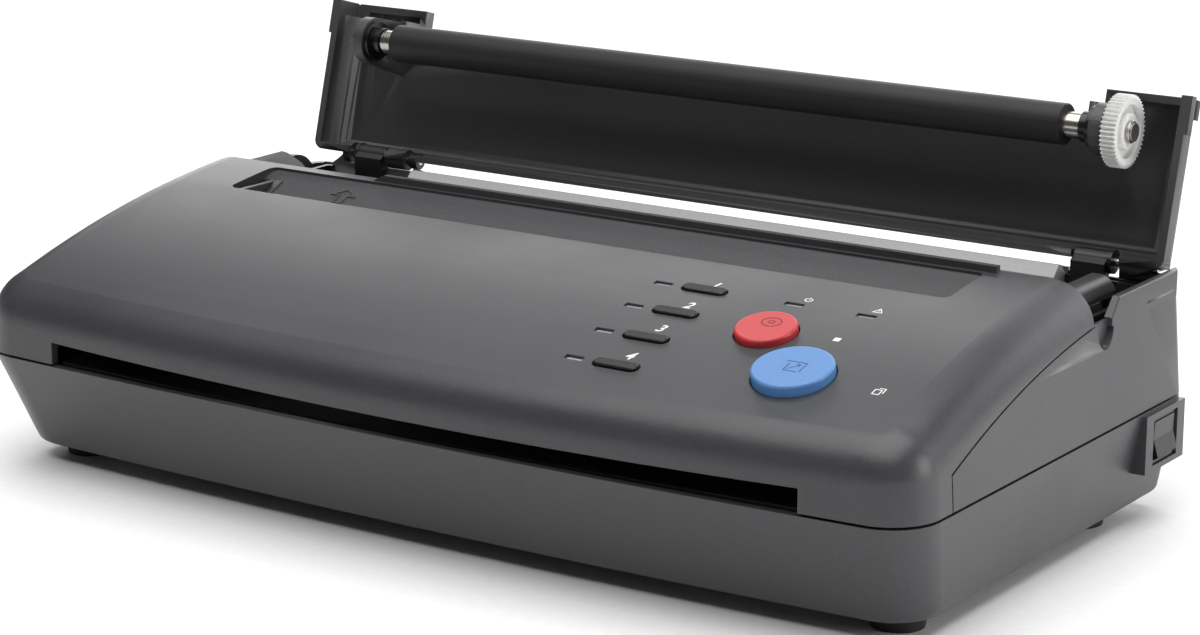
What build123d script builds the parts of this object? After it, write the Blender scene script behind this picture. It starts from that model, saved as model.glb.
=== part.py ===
"""Thermal stencil copier: a tapered desk casing with a front cover, and a hinged rear lid that carries the platen.

Units are millimetres. +X is the operator's right, -Y the front with the exit slot, +Z up, and the feet stand on Z = 0.
The lid is modelled open, leaning back on its hinge, and closes forward over the print head.
"""

from math import asin, atan2, cos, degrees, pi, radians, sin, sqrt, tan
import os

from build123d import *

os.makedirs("parts", exist_ok=True)

# ---------------------------------------------------------------- driving dimensions
# Casing
width = 300.0  # across the parting line
half_width = width / 2
depth = 158.0  # front of the bow to the rear wall, at the parting line
front_bow = 4.4  # how far the middle of the front stands ahead of its corners
corner_radius = 14.0  # front corners in plan
rear_corner_radius = 6.0
wall = 2.5
foot_height = 5.0  # underside of the casing above the table
parting_height = 33.0  # top edge of the base
parting_gap = 0.7
side_draft = 5.0  # how far the base draws in from the parting line to its underside
front_draft = 12.0
rear_draft = 1.5
upper_draft = 3.5  # how far the upper casing draws in at the sides up to draft_height
draft_height = 85.0
underside_radius = 3.0

# Front cover
crown_radius = 362.0  # long arch of the cover, front to back
crown_apex = 132.3  # distance of its highest point behind the front
crown_height = 74.8
shoulder_radius = 12.0  # rounded edge round the front and sides
cover_depth = 102.4  # rear edge of the cover behind the front
seam_start = 24.0  # upright part of the side seam, behind the front
seam_points = ((seam_start, 43.1), (62.0, 55.4), (cover_depth, 62.6))  # side seam: distance behind the front, height
seam_gap = 0.5

# Slots
slot_end = 30.5  # each end of the slot in from the casing's side
slot_length = width - 2 * slot_end
exit_slot_top = 39.9
exit_slot_sag = 1.7  # the slot's upper lip droops in the middle
feed_end = 31.75
feed_length = width - 2 * feed_end
feed_front = 78.4
feed_rear = 99.0
feed_corner = 2.5

# Feed recess: the ramp under the opening
feed_lip = 0.8
ramp_toe = 75.0
ramp_toe_height = 62.0
ramp_wall = 1.8
upstand_depth = 100.9
upstand_wall = 2.0
upstand_top = 75.2
upstand_left = 66.0 - half_width
upstand_right = half_width - 29.0
upstand_taper = 6.0

# Rear housing and the chassis inside it
floor_level = 43.0  # top of the bay floor
floor_wall = 2.0
hump_centre = depth - 15.6
hump_length = 17.0
hump_rise = 4.2
chassis_half = half_width - 8.0
chassis_wall = 1.5
chassis_front = cover_depth + 0.5
chassis_rear = depth - 3.8
chassis_top = 61.9
chassis_trim_top = 59.4  # where the trim stands behind it
shelf_wall = 3.0
scoop_at = 109.0
scoop_radius = 5.0
scoop_cut = 6.0
scoop_drop = 7.0

# Guide deck in front of the bay, with a cap at each end, and the trim along the rear wall
deck_crest = 72.6
deck_depth = 4.4
deck_wall = 2.6
deck_half = chassis_half - 8.0
deck_foot = 5.6
cap_outer = chassis_half - 0.2
cap_depth = 30.0
cap_top = 72.3
cap_thickness = 8.3
cap_radius = 6.0
cap_slope = ((122.3, cap_top), (124.9, 71.3), (130.7, 67.7), (132.9, 65.9))  # fall of the caps to the rear
support_depth = 20.0
trim_front = depth - 2.9
trim_wall = 1.0
trim_foot = 58.5
trim_top = 63.4
trim_right = half_width - 35.0
trim_outline = (  # its upper edge from the left end, rising on both sides of the left hinge
    (6.0 - half_width, 60.7), (8.7 - half_width, 62.0), (11.6 - half_width, 64.0), (13.4 - half_width, 65.5),
    (15.4 - half_width, 65.5), (15.4 - half_width, 63.2), (41.0 - half_width, 63.2), (41.0 - half_width, 64.1),
    (42.6 - half_width, 64.1), (45.2 - half_width, trim_top), (trim_right, trim_top),
)

# Lid, in its own plane: x across, u from the hinge to the free edge, w towards the machine's inside
lid_side_gap = 5.5
lid_width = width - 2 * lid_side_gap
lid_half = lid_width / 2
lid_length = 47.0
lid_depth = 13.8  # rim to outer skin
lid_wall = 2.2
lid_lean = 15.3  # degrees past upright when open
lid_edge_drop = 0.3  # lower edge of the lid below the hinge axis
lid_rim_reach = 3.85  # rim plane in front of the hinge axis
lid_end_radius = 11.0
lid_plan_radius = 3.5
ear_width = 28.5
notch_length = lid_width - 2 * ear_width  # gap between the two ears
notch_depth = 11.0
tab_length = 10.5  # finger tab on the outside of each ear
tab_reach = 1.0
hinge_inset = 3.5  # hinge axis ahead of the casing's rear
hinge_depth = depth - hinge_inset
hinge_height = 66.8

lid_knuckle_radius = 3.2
lid_hinge_radius = 8.0
lid_edge_radius = 3.0
ear_rim = 4.0  # the ears' front rim is shallow, to pass over the deck
centre_rim = 8.9

# Hinges
pin_radius = 1.25
barrel_radius = 3.0
barrel_collar = 3.3
barrel_length = 11.2
barrel_outer = lid_half - 15.5
barrel_inner = barrel_outer - barrel_length
collar_length = 1.2
knuckle_gap = 0.4
right_knuckle = barrel_outer + 2.6
left_tab_inner = barrel_outer + 2.0
left_tab_outer = left_tab_inner + 2.5
left_arch_outer = barrel_inner - 0.8
left_arch_inner = left_arch_outer - 7.0
pin_bush_outer = left_arch_inner - 1.4
pin_bush_inner = pin_bush_outer - 3.2
pin_bush_radius = 2.4
bracket_front = 4.5  # front face of the bracket plate ahead of the hinge axis
bracket_wall = 2.2
bracket_foot = 9.0
notch_round = 4.2  # clear radius round each bracket barrel in the lid's edge

# Platen
platen_radius = 5.7
platen_end = 31.3  # end of the rubber in from the lid's side
platen_length = lid_width - 2 * platen_end
platen_along = 34.9  # u and w of the platen axis in the lid's plane
platen_reach = 9.75
shaft_radius = 3.6
shaft_step = 4.8  # bare shaft at each end of the rubber
shaft_middle = platen_length + 2 * shaft_step
journal_radius = 2.5
bush_radius = 4.2
bush_flange_radius = 6.0
bush_flange = 1.4
post_inner = lid_half - 22.0
post_wall = 3.5
shaft_left = post_inner + post_wall + 3.6
shaft_right = post_inner + post_wall + 7.3
post_round = 7.0
post_base = 15.0
press_clearance = 0.02
running_clearance = 0.08
clip_radius = 4.0
clip_wall = 0.8
clip_groove = 0.5
gear_dish = 1.4

# Print head
head_half = lid_half - 32.5
sink_width = 22.0
sink_height = 5.0
head_width = 16.0
nip_gap = 0.3
bead_radius = 0.6

# Gears
gear_module = 0.4
platen_teeth = 48
gear_start = post_inner + post_wall + 1.4
gear_face = 4.2
tip_gap = 0.3  # between the platen gear and the gear it closes onto
drive_teeth = 48
pinion_teeth = 12
drive_shift = 6.0  # how far the drive gear lies behind the closed platen
pinion_shift = 7.0
drive_screw_radius = 2.0
drive_screw_head = 3.0
motor_radius = 12.0
motor_length = 34.0
motor_shaft_radius = 1.0
motor_plate_start = gear_start - 7.8
motor_plate_wall = 2.0
gear_backlash = 0.18

# Scanner
scan_depth = 68.0
scan_height = 48.2
scan_radius = 6.0
scan_journal = 2.5
scan_module = 0.5
scan_teeth = 48
scan_pinion_teeth = 12
scan_pinion_rise = -3.4
scan_frame_half = half_width - 32.5
scan_frame_wall = 1.5
scan_length = 2 * (scan_frame_half - scan_frame_wall - 9.0)
scan_gear_start = scan_frame_half + 3.5
scan_gear_face = 4.0
scan_frame_depth = 13.0
scan_shelf = 28.5
sensor_half = scan_frame_half - scan_frame_wall - 4.0
sensor_top = 41.3
glass_wall = 0.7
scan_motor_radius = 7.8
scan_motor_length = 24.0

# Exit tray
tray_half = slot_length / 2 - 0.6
tray_front_height = 33.2
tray_rear_height = 40.6
tray_rear = 60.6
tray_wall = 2.0
tray_rib_pitch = 14.0
tray_rib_count = int(2 * (tray_half - 5.0) / tray_rib_pitch) + 1
tray_rib_width = 1.2
tray_rib_rise = 0.8
tray_rib_start = 6.0
tray_leg_x = tray_half - 13.9
tray_leg_depths = (20.0, 52.0)
tray_leg_radius = 3.0

# Controls, placed on the panel plane that touches the cover's arch at panel_depth
panel_depth = 40.3
key_length = 13.2
key_width = 3.5
key_rise = 0.7
key_edge = 0.3
key_x = 56.4
key_pitch = 14.3
key_count = 4
lamp_x = 43.7
lamp_length = 5.5
lamp_width = 1.9
lamp_sink = 0.8
stop_radius = 8.2
stop_place = (85.0, 4.8)
stop_rise = 2.0
copy_radius = 10.6
copy_place = (102.9, -12.5)
copy_rise = 2.6
button_edge = 0.8
button_clearance = 0.35
button_travel = 0.6
status_lamp_x = (83.4, 104.5)
status_lamp_at = 21.5
flange_lip = 0.6
flange_thickness = 0.8
retainer_gap = 0.9
plunger_radius = 1.6
panel_cut = 4.5
panel_board_sink = 11.0
board_thickness = 1.6
panel_board_x = 78.0
panel_board_length = 86.0
panel_board_width = 51.0
panel_post_x = 40.4  # from the board's middle
panel_post_s = 14.5
panel_post_radius = 2.0
switch_side = 6.0
tact_height = 3.5
stub_height = 1.0

# Fixings, boards and vents in the base
foot_x = half_width - 18.0
foot_depths = (31.3, depth - 27.0)
foot_radius = 7.6
post_x = half_width - 22.0
post_depths = (48.0, depth - 12.0)
post_radius = 4.0
post_seat = 30.0
screw_seat = 17.0
screw_radius = 1.5
screw_length = 20.0
screw_head_radius = 2.8
screw_head_height = 2.0
board_post_x = 45.0
board_post_depths = (52.0, 104.0)
board_post_radius = 3.0
board_level = 11.0
board_screw_length = 4.5
main_board_length = 100.0
main_board_width = 62.0
vent_depth = 88.0
vent_count = 9
vent_pitch = 7.0
vent_width = 2.5
vent_length = 30.0
supply_x = 62.0 - half_width
supply_length = 44.0
supply_width = 56.0
supply_height = 22.0
supply_depth = depth - 42.0

# Mains inlet in the rear wall
inlet_x = 38.0 - half_width
inlet_level = 20.0
inlet_width = 20.0
inlet_height = 12.0
inlet_corner = 2.0
inlet_body = 12.0

# Power switch in an upright frame on the right wall
bezel_at = depth - 18.2
bezel_level = 24.9
bezel_length = 24.0
bezel_height = 16.0
bezel_face = half_width + 1.3
switch_at = bezel_at + 2.6
switch_level = 24.3
switch_length = 14.6
switch_height = 12.6
switch_sink = 0.6
switch_body = 17.0
switch_wall = 0.9
rocker_length = 12.2
rocker_height = 9.6
rocker_pivot = bezel_face - 3.7
rocker_reach = 4.0
rocker_dip = 0.8
rocker_back = 2.4
rocker_pin = 1.0
rocker_tilt = 7.0

# ---------------------------------------------------------------- derived places
lid_free_edge = lid_length - lid_edge_drop
lid_skin = lid_rim_reach - lid_depth  # w of the lid's outer skin
lean = radians(lid_lean)
lid_overhang = ((lid_free_edge - lid_edge_radius) * sin(lean) - (lid_skin + lid_edge_radius) * cos(lean)
                + lid_edge_radius)
front = -(hinge_depth + lid_overhang) / 2  # puts the origin midway between front and rearmost point at rest
upper_bottom = parting_height + parting_gap
clear = 0.3
UP = (Align.CENTER, Align.CENTER, Align.MIN)
DOWN = (Align.CENTER, Align.CENTER, Align.MAX)


def behind(distance):
    """Y of a point this far behind the front of the bow."""
    return front + distance


def crown_at(distance, sink=0.0):
    """Height of the cover's arch, or of a surface sunk under it."""
    return crown_height - crown_radius + sqrt((crown_radius - sink) ** 2 - (distance - crown_apex) ** 2)


def casing_plan(height, half, front_in, rear_in, inset=0.0, rear_extra=0.0):
    """Plan outline of the casing at one height: bowed front, straight sides, rounded corners."""
    left_right = half - inset
    ahead = behind(front_in + inset)
    rear = behind(depth - rear_in - inset + rear_extra)
    with BuildSketch(Plane.XY.offset(height)) as plan:
        with BuildLine():
            ThreePointArc((-left_right, ahead + front_bow), (0, ahead), (left_right, ahead + front_bow))
            Polyline((left_right, ahead + front_bow), (left_right, rear), (-left_right, rear), (-left_right, ahead + front_bow))
        make_face()
        if not rear_extra:
            fillet(plan.vertices().group_by(Axis.Y)[-1], rear_corner_radius - inset)
        fillet(plan.vertices().group_by(Axis.Y)[0], corner_radius - inset)
    return plan.sketch


def upper_plan(height, inset=0.0, rear_extra=0.0):
    """Plan outline of the upper casing, which draws in towards the top."""
    share = (height - parting_height) / (draft_height - parting_height)
    return casing_plan(height, half_width - upper_draft * share, 0.0, rear_draft * share, inset, rear_extra)


def upper_body(inset=0.0):
    """Solid of the upper casing's rounded form, for the outside and, inset by the wall, for the inside."""
    bottom = upper_bottom - (1.0 if inset else 0.0)
    with BuildPart() as body:
        loft(sections=[upper_plan(bottom, inset, rear_extra=20.0), upper_plan(draft_height, inset, rear_extra=20.0)])
        with BuildSketch(Plane.YZ) as over_crown:
            with BuildLine():
                ThreePointArc(*[(behind(d), crown_at(d, inset)) for d in (-10.0, crown_apex, depth + 40.0)])
                Polyline(
                    (behind(depth + 40.0), crown_at(depth + 40.0, inset)),
                    (behind(depth + 40.0), draft_height + 5.0),
                    (behind(-10.0), draft_height + 5.0),
                    (behind(-10.0), crown_at(-10.0, inset)),
                )
            make_face()
        extrude(amount=width, both=True, mode=Mode.SUBTRACT)
        arch = body.faces().sort_by(Axis.Z)[-1]
        fillet(arch.edges().sort_by(Axis.Y)[:-1], shoulder_radius - inset)
    return body.part


def seam_region(start, lift):
    """Side profile of everything under the seam, from the upright seam back past the rear wall."""
    low = upper_bottom - 5.0
    points = [(behind(max(d, start)), z + lift) for d, z in seam_points]
    end = (behind(depth + 30.0), seam_points[-1][1] + lift)
    with BuildSketch(Plane.YZ) as region:
        with BuildLine():
            ThreePointArc(*points)
            Polyline(points[-1], end, (end[0], low), (points[0][0], low), points[0])
        make_face()
    return region.sketch


def spur_gear(teeth, module, first_tooth):
    """Outline of a spur gear with straight-flanked teeth, one tooth pointing at the angle first_tooth."""
    root = module * (teeth / 2 - 1.25)
    tip = module * (teeth / 2 + 1.0)
    half_pitch = module * pi / 4 - gear_backlash / 2
    half_root = half_pitch + 1.25 * module * tan(radians(20))
    half_tip = half_pitch - module * tan(radians(20))
    with BuildSketch() as outline:
        Circle(root)
        with PolarLocations(0, teeth, start_angle=first_tooth):
            Polygon((root - module, -half_root), (root, -half_root), (tip, -half_tip), (tip, half_tip),
                    (root, half_root), (root - module, half_root), align=None)
    return outline.sketch


def side_plane(x, distance, height):
    """Plane square to X: its x runs to the rear, its y up, and its normal to the operator's right."""
    return Plane(origin=(x, behind(distance), height), x_dir=(0, 1, 0), z_dir=(1, 0, 0))


def rear_plane(x, height, distance):
    """Plane square to Y: its x runs to the operator's left, its y up, and its normal to the rear."""
    return Plane(origin=(x, behind(distance), height), x_dir=(-1, 0, 0), z_dir=(0, 1, 0))


lid_plane = Plane(origin=(0, behind(hinge_depth), hinge_height), x_dir=(1, 0, 0), z_dir=(0, -cos(lean), sin(lean)))


def across_lid(x):
    """Plane square to X in the lid's frame: its x runs towards the free edge, its y towards the inside."""
    return Plane(origin=lid_plane.from_local_coords((x, 0, 0)), x_dir=lid_plane.y_dir, z_dir=(1, 0, 0))


# Closed, the lid has turned forward until its rim is level: where the platen then lies
closed_depth = hinge_depth - platen_along
closed_height = hinge_height - platen_reach
platen_gear_radius = gear_module * (platen_teeth / 2 + 1)
drive_gear_radius = gear_module * (drive_teeth / 2 + 1)
drive_depth = closed_depth + drive_shift
drive_height = closed_height - sqrt((platen_gear_radius + drive_gear_radius + tip_gap) ** 2 - drive_shift**2)
drive_centres = gear_module * (drive_teeth + pinion_teeth) / 2
pinion_depth = drive_depth + pinion_shift
pinion_height = drive_height - sqrt(drive_centres**2 - pinion_shift**2)
scan_centres = scan_module * (scan_teeth + scan_pinion_teeth) / 2
scan_pinion_height = scan_height + scan_pinion_rise
scan_pinion_depth = scan_depth + sqrt(scan_centres**2 - scan_pinion_rise**2)

# Places on the panel: (across, up the slope), with the arch's fall below the panel plane
panel_slope = asin((crown_apex - panel_depth) / crown_radius)
panel_plane = Plane(
    origin=(0, behind(panel_depth), crown_at(panel_depth)), x_dir=(1, 0, 0), z_dir=(0, -sin(panel_slope), cos(panel_slope))
)
key_places = [(key_x, key_pitch * ((key_count - 1) / 2 - i)) for i in range(key_count)]
lamp_places = [(lamp_x, s) for x, s in key_places] + [(x, status_lamp_at) for x in status_lamp_x]
key_bury = wall + retainer_gap + flange_thickness
plunger_end = panel_board_sink - tact_height - button_travel - 0.1
panel_post_places = [(panel_board_x + sx * panel_post_x, sy * panel_post_s) for sx in (-1, 1) for sy in (-1, 1)]
panel_axis = Axis(panel_plane.origin, panel_plane.z_dir)


def panel_sag(s):
    """How far the arch lies below the panel plane at a distance up or down the slope."""
    return crown_radius - sqrt(crown_radius**2 - s**2)


# ---------------------------------------------------------------- base
base_bottom = (half_width - side_draft, front_draft, rear_draft)
floor_top = foot_height + wall
foot_places = [(sx * foot_x, behind(d)) for sx in (-1, 1) for d in foot_depths]
post_places = [(sx * post_x, behind(d)) for sx in (-1, 1) for d in post_depths]
board_places = [(sx * board_post_x, behind(d)) for sx in (-1, 1) for d in board_post_depths]

with BuildPart() as base_case:
    loft(sections=[casing_plan(foot_height, *base_bottom), casing_plan(parting_height, half_width, 0.0, 0.0)])
    fillet(base_case.faces().sort_by(Axis.Z)[0].edges(), underside_radius)
    loft(
        sections=[casing_plan(floor_top, *base_bottom, wall), casing_plan(parting_height, half_width, 0.0, 0.0, wall)],
        mode=Mode.SUBTRACT,
    )
    # screw posts that meet the posts of the upper parts, and the posts under the main board
    with Locations(*[(x, y, foot_height) for x, y in post_places]):
        Cylinder(post_radius, post_seat - foot_height, align=UP)
    with Locations(*[(x, y, floor_top - 0.5) for x, y in board_places]):
        Cylinder(board_post_radius, board_level - floor_top + 0.5, align=UP)
    with Locations(*[(x, y, board_level) for x, y in board_places]):
        Cylinder(screw_radius + press_clearance, board_screw_length - board_thickness + clear, align=DOWN, mode=Mode.SUBTRACT)
    with Locations(*[(x, y, 0) for x, y in post_places]):
        Cylinder(screw_head_radius + clear, screw_seat, align=UP, mode=Mode.SUBTRACT)
        Cylinder(screw_radius + running_clearance, post_seat + 1.0, align=UP, mode=Mode.SUBTRACT)
    # vent slots through the floor
    with Locations((0, behind(vent_depth), foot_height - 1.0)):
        with GridLocations(vent_pitch, 1.0, vent_count, 1):
            Box(vent_width, vent_length, wall + 2.0, align=UP, mode=Mode.SUBTRACT)
    # mains inlet opening in the rear wall
    with BuildSketch(rear_plane(inlet_x, inlet_level, depth + 5.0)):
        RectangleRounded(inlet_width + clear, inlet_height + clear, inlet_corner)
    extrude(amount=-20.0, mode=Mode.SUBTRACT)
    # upright frame round the power switch on the sloping right wall, then its opening
    with BuildSketch(side_plane(bezel_face, switch_at, switch_level)):
        Rectangle(bezel_length, bezel_height)
    extrude(amount=-(bezel_face - half_width + side_draft + wall))
    with BuildSketch(side_plane(bezel_face, switch_at, switch_level)):
        Rectangle(switch_length + clear, switch_height + clear)
    extrude(amount=-20.0, mode=Mode.SUBTRACT)
base_case.part.label = "base_case"
export_step(base_case.part, "parts/base_case.step")

with BuildPart() as rubber_feet:
    with Locations(*[(x, y, 0) for x, y in foot_places]):
        Cone(foot_radius - 0.8, foot_radius, foot_height, align=UP)
rubber_feet.part.label = "rubber_feet"
export_step(rubber_feet.part, "parts/rubber_feet.step")

with BuildPart() as case_screws:
    with Locations(*[(x, y, screw_seat) for x, y in post_places]):
        Cylinder(screw_radius, screw_length, align=UP)
        Cylinder(screw_head_radius, screw_head_height, align=DOWN)
case_screws.part.label = "case_screws"
export_step(case_screws.part, "parts/case_screws.step")

# ---------------------------------------------------------------- front cover
casing_outside = upper_body()
casing_inside = upper_body(wall)

with BuildPart() as top_cover:
    add(casing_outside)
    add(casing_inside, mode=Mode.SUBTRACT)
    # the cover ends at its rear edge and along the side seam
    add(extrude(seam_region(seam_start, 0.0), amount=width, both=True, mode=Mode.PRIVATE), mode=Mode.SUBTRACT)
    with Locations((0, behind(cover_depth), 0)):
        Box(2 * width, depth, width, align=(Align.CENTER, Align.MIN, Align.MIN), mode=Mode.SUBTRACT)
    # exit slot along the front, its upper lip drooping in the middle
    with BuildSketch(Plane.XZ.offset(-front + 5.0)):
        with BuildLine():
            ThreePointArc((-slot_length / 2, exit_slot_top), (0, exit_slot_top - exit_slot_sag), (slot_length / 2, exit_slot_top))
            Polyline((slot_length / 2, exit_slot_top), (slot_length / 2, 0), (-slot_length / 2, 0), (-slot_length / 2, exit_slot_top))
        make_face()
    extrude(amount=-30.0, mode=Mode.SUBTRACT)
    # feed opening, then the sloping ramp that the sheet slides down, closed by a cheek at each end
    with BuildSketch(Plane.XY.offset(crown_at(feed_front) - 2 * wall)):
        with Locations((0, behind((feed_front + feed_rear) / 2))):
            RectangleRounded(feed_length, feed_rear - feed_front, feed_corner)
    extrude(amount=20.0, mode=Mode.SUBTRACT)
    with BuildSketch(Plane.YZ):
        with BuildLine():
            Polyline(
                (behind(feed_rear), crown_at(feed_rear) - feed_lip),
                (behind(ramp_toe), ramp_toe_height),
                (behind(ramp_toe), ramp_toe_height - ramp_wall),
                (behind(feed_rear + 1.0), crown_at(feed_rear) - feed_lip - ramp_wall - 1.0),
                (behind(feed_rear + 1.0), crown_at(feed_rear) - 1.0),
                (behind(feed_rear), crown_at(feed_rear) - 1.0),
                close=True,
            )
        make_face()
    extrude(amount=feed_length / 2 + wall, both=True)
    with BuildSketch(Plane.YZ.offset(feed_length / 2)) as cheek:
        Polygon(
            (behind(ramp_toe), ramp_toe_height - ramp_wall),
            (behind(ramp_toe), crown_at(ramp_toe) - wall / 2),
            (behind(feed_rear), crown_at(feed_rear) - wall / 2),
            (behind(feed_rear), crown_at(feed_rear) - feed_lip - ramp_wall),
            align=None,
        )
    extrude(amount=wall)
    mirror(extrude(cheek.sketch, amount=wall, mode=Mode.PRIVATE), about=Plane.YZ)
    # upstand along the rear edge that stops a sheet lying on the cover
    with BuildSketch(Plane.XZ.offset(-behind(upstand_depth))):
        Polygon(
            (upstand_left, crown_height - wall), (upstand_left + upstand_taper, upstand_top),
            (upstand_right, upstand_top), (upstand_right, crown_height - wall), align=None,
        )
    extrude(amount=upstand_wall / 2, both=True)
    # screw posts down to the base
    with BuildSketch(Plane.XY.offset(post_seat)):
        with Locations(*[(sx * post_x, behind(post_depths[0])) for sx in (-1, 1)]):
            Circle(post_radius)
            Circle(screw_radius + press_clearance, mode=Mode.SUBTRACT)
    extrude(amount=crown_at(post_depths[0]) - wall / 2 - post_seat)
    # posts that the control board hangs from
    with BuildSketch(panel_plane.offset(-panel_board_sink)):
        with Locations(*panel_post_places):
            Circle(panel_post_radius)
    extrude(amount=panel_board_sink - wall / 2 - panel_sag(panel_post_s))
    # openings for the keys, the buttons and the lamps
    with BuildSketch(panel_plane):
        with Locations(*key_places):
            SlotOverall(key_length + 2 * button_clearance, key_width + 2 * button_clearance)
        with Locations(stop_place):
            Circle(stop_radius + button_clearance)
        with Locations(copy_place):
            Circle(copy_radius + button_clearance)
        with Locations(*lamp_places):
            Rectangle(lamp_length + press_clearance, lamp_width + press_clearance)
    extrude(amount=panel_cut, both=True, mode=Mode.SUBTRACT)
top_cover.part.label = "top_cover"
export_step(top_cover.part, "parts/top_cover.step")

# ---------------------------------------------------------------- keys, buttons and lamps
for number, (x, s) in enumerate(key_places, start=1):
    with BuildPart() as key:
        with BuildSketch(panel_plane.offset(key_rise - panel_sag(s))):
            with Locations((x, s)):
                SlotOverall(key_length, key_width)
        extrude(amount=-key_rise - key_bury)
        chamfer(key.faces().sort_by(panel_axis)[-1].edges(), key_edge)
        with BuildSketch(panel_plane.offset(-key_bury - panel_sag(s))):
            with Locations((x, s)):
                SlotOverall(key_length + 2 * flange_lip, key_width + 2 * flange_lip)
        extrude(amount=flange_thickness)
        with BuildSketch(panel_plane.offset(-plunger_end)):
            with Locations((x, s)):
                Circle(plunger_radius)
        extrude(amount=plunger_end - key_bury)
    key.part.label = f"key_{number}"
    export_step(key.part, f"parts/key_{number}.step")

for name, (x, s), radius, rise in (
    ("stop_button", stop_place, stop_radius, stop_rise),
    ("copy_button", copy_place, copy_radius, copy_rise),
):
    with BuildPart() as button:
        with BuildSketch(panel_plane.offset(rise - panel_sag(s))):
            with Locations((x, s)):
                Circle(radius)
        extrude(amount=-rise - key_bury)
        fillet(button.faces().sort_by(panel_axis)[-1].edges(), button_edge)
        with BuildSketch(panel_plane.offset(-key_bury - panel_sag(s))):
            with Locations((x, s)):
                Circle(radius + button_clearance + flange_lip)
        extrude(amount=flange_thickness)
        with BuildSketch(panel_plane.offset(-plunger_end)):
            with Locations((x, s)):
                Circle(plunger_radius)
        extrude(amount=plunger_end - key_bury)
    button.part.label = name
    export_step(button.part, f"parts/{name}.step")

for name, places in (("mode_lamps", lamp_places[:key_count]), ("status_lamps", lamp_places[key_count:])):
    with BuildPart() as lamps:
        for x, s in places:
            with BuildSketch(panel_plane.offset(-panel_board_sink)):
                with Locations((x, s)):
                    Rectangle(lamp_length, lamp_width)
            extrude(amount=panel_board_sink - panel_sag(s) - lamp_sink)
    lamps.part.label = name
    export_step(lamps.part, f"parts/{name}.step")

with BuildPart() as panel_board:
    with BuildSketch(panel_plane.offset(-panel_board_sink - board_thickness)):
        with Locations((panel_board_x, 0)):
            Rectangle(panel_board_length, panel_board_width)
    extrude(amount=board_thickness)
panel_board.part.label = "panel_board"
export_step(panel_board.part, "parts/panel_board.step")

with BuildPart() as key_switches:
    with BuildSketch(panel_plane.offset(-panel_board_sink)):
        with Locations(*key_places, stop_place, copy_place):
            Rectangle(switch_side, switch_side)
    extrude(amount=tact_height - stub_height)
    with BuildSketch(panel_plane.offset(-panel_board_sink + tact_height - stub_height)):
        with Locations(*key_places, stop_place, copy_place):
            Circle(plunger_radius)
    extrude(amount=stub_height)
key_switches.part.label = "key_switches"
export_step(key_switches.part, "parts/key_switches.step")

# ---------------------------------------------------------------- rear housing
side_top = seam_points[-1][1] - seam_gap
hump_start = (behind(hump_centre - hump_length / 2), side_top)
hump_end = (behind(hump_centre + hump_length / 2), side_top)

with BuildPart() as rear_housing:
    loft(sections=[upper_plan(upper_bottom), upper_plan(draft_height)])
    loft(sections=[upper_plan(upper_bottom, wall), upper_plan(draft_height, wall)], mode=Mode.SUBTRACT)
    # side profile: the seam in front, then a level edge with a hump ahead of the rear corner
    with BuildSketch(Plane.YZ):
        with BuildLine():
            seam = [(behind(max(d, seam_start + seam_gap)), z - seam_gap) for d, z in seam_points]
            ThreePointArc(*seam)
            Line(seam[-1], hump_start)
            ThreePointArc(hump_start, (behind(hump_centre), side_top + hump_rise), hump_end)
            Polyline(hump_end, (behind(2 * depth), side_top), (behind(2 * depth), 0), (seam[0][0], 0), seam[0])
        make_face()
    extrude(amount=width, both=True, mode=Mode.INTERSECT)
    # shelf and post in each rear corner, under the chassis
    shelf_inner = post_x - post_radius
    shelf_front = behind(post_depths[1] - post_radius)
    with BuildSketch(Plane.XY.offset(floor_level - floor_wall - shelf_wall)):
        for sx in (-1, 1):
            Polygon(
                (sx * shelf_inner, shelf_front), (sx * (half_width - wall), shelf_front),
                (sx * (half_width - wall), behind(depth - wall)), (sx * shelf_inner, behind(depth - wall)),
                align=None,
            )
    extrude(amount=shelf_wall)
    with Locations(*[(sx * post_x, behind(post_depths[1]), post_seat) for sx in (-1, 1)]):
        Cylinder(post_radius, floor_level - floor_wall - post_seat, align=UP)
        Cylinder(screw_radius + press_clearance, screw_seat + screw_length - post_seat, align=UP, mode=Mode.SUBTRACT)
    # finger scoop under each ear of the lid
    for sx in (-1, 1):
        with BuildSketch(Plane(origin=(sx * (half_width + wall), behind(scoop_at), side_top), x_dir=(0, 1, 0), z_dir=(sx, 0, 0))):
            Ellipse(scoop_radius, scoop_drop)
        extrude(amount=-scoop_cut, mode=Mode.SUBTRACT)
    # rebate along the inside of the rear wall, which the trim stands in
    trim_left = trim_outline[0][0]
    with Locations(((trim_left + trim_right) / 2, behind(trim_front + trim_wall), trim_foot)):
        Box(trim_right - trim_left, 6 * trim_wall, floor_level, align=(Align.CENTER, Align.MAX, Align.MIN), mode=Mode.SUBTRACT)
rear_housing.part.label = "rear_housing"
export_step(rear_housing.part, "parts/rear_housing.step")

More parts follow.
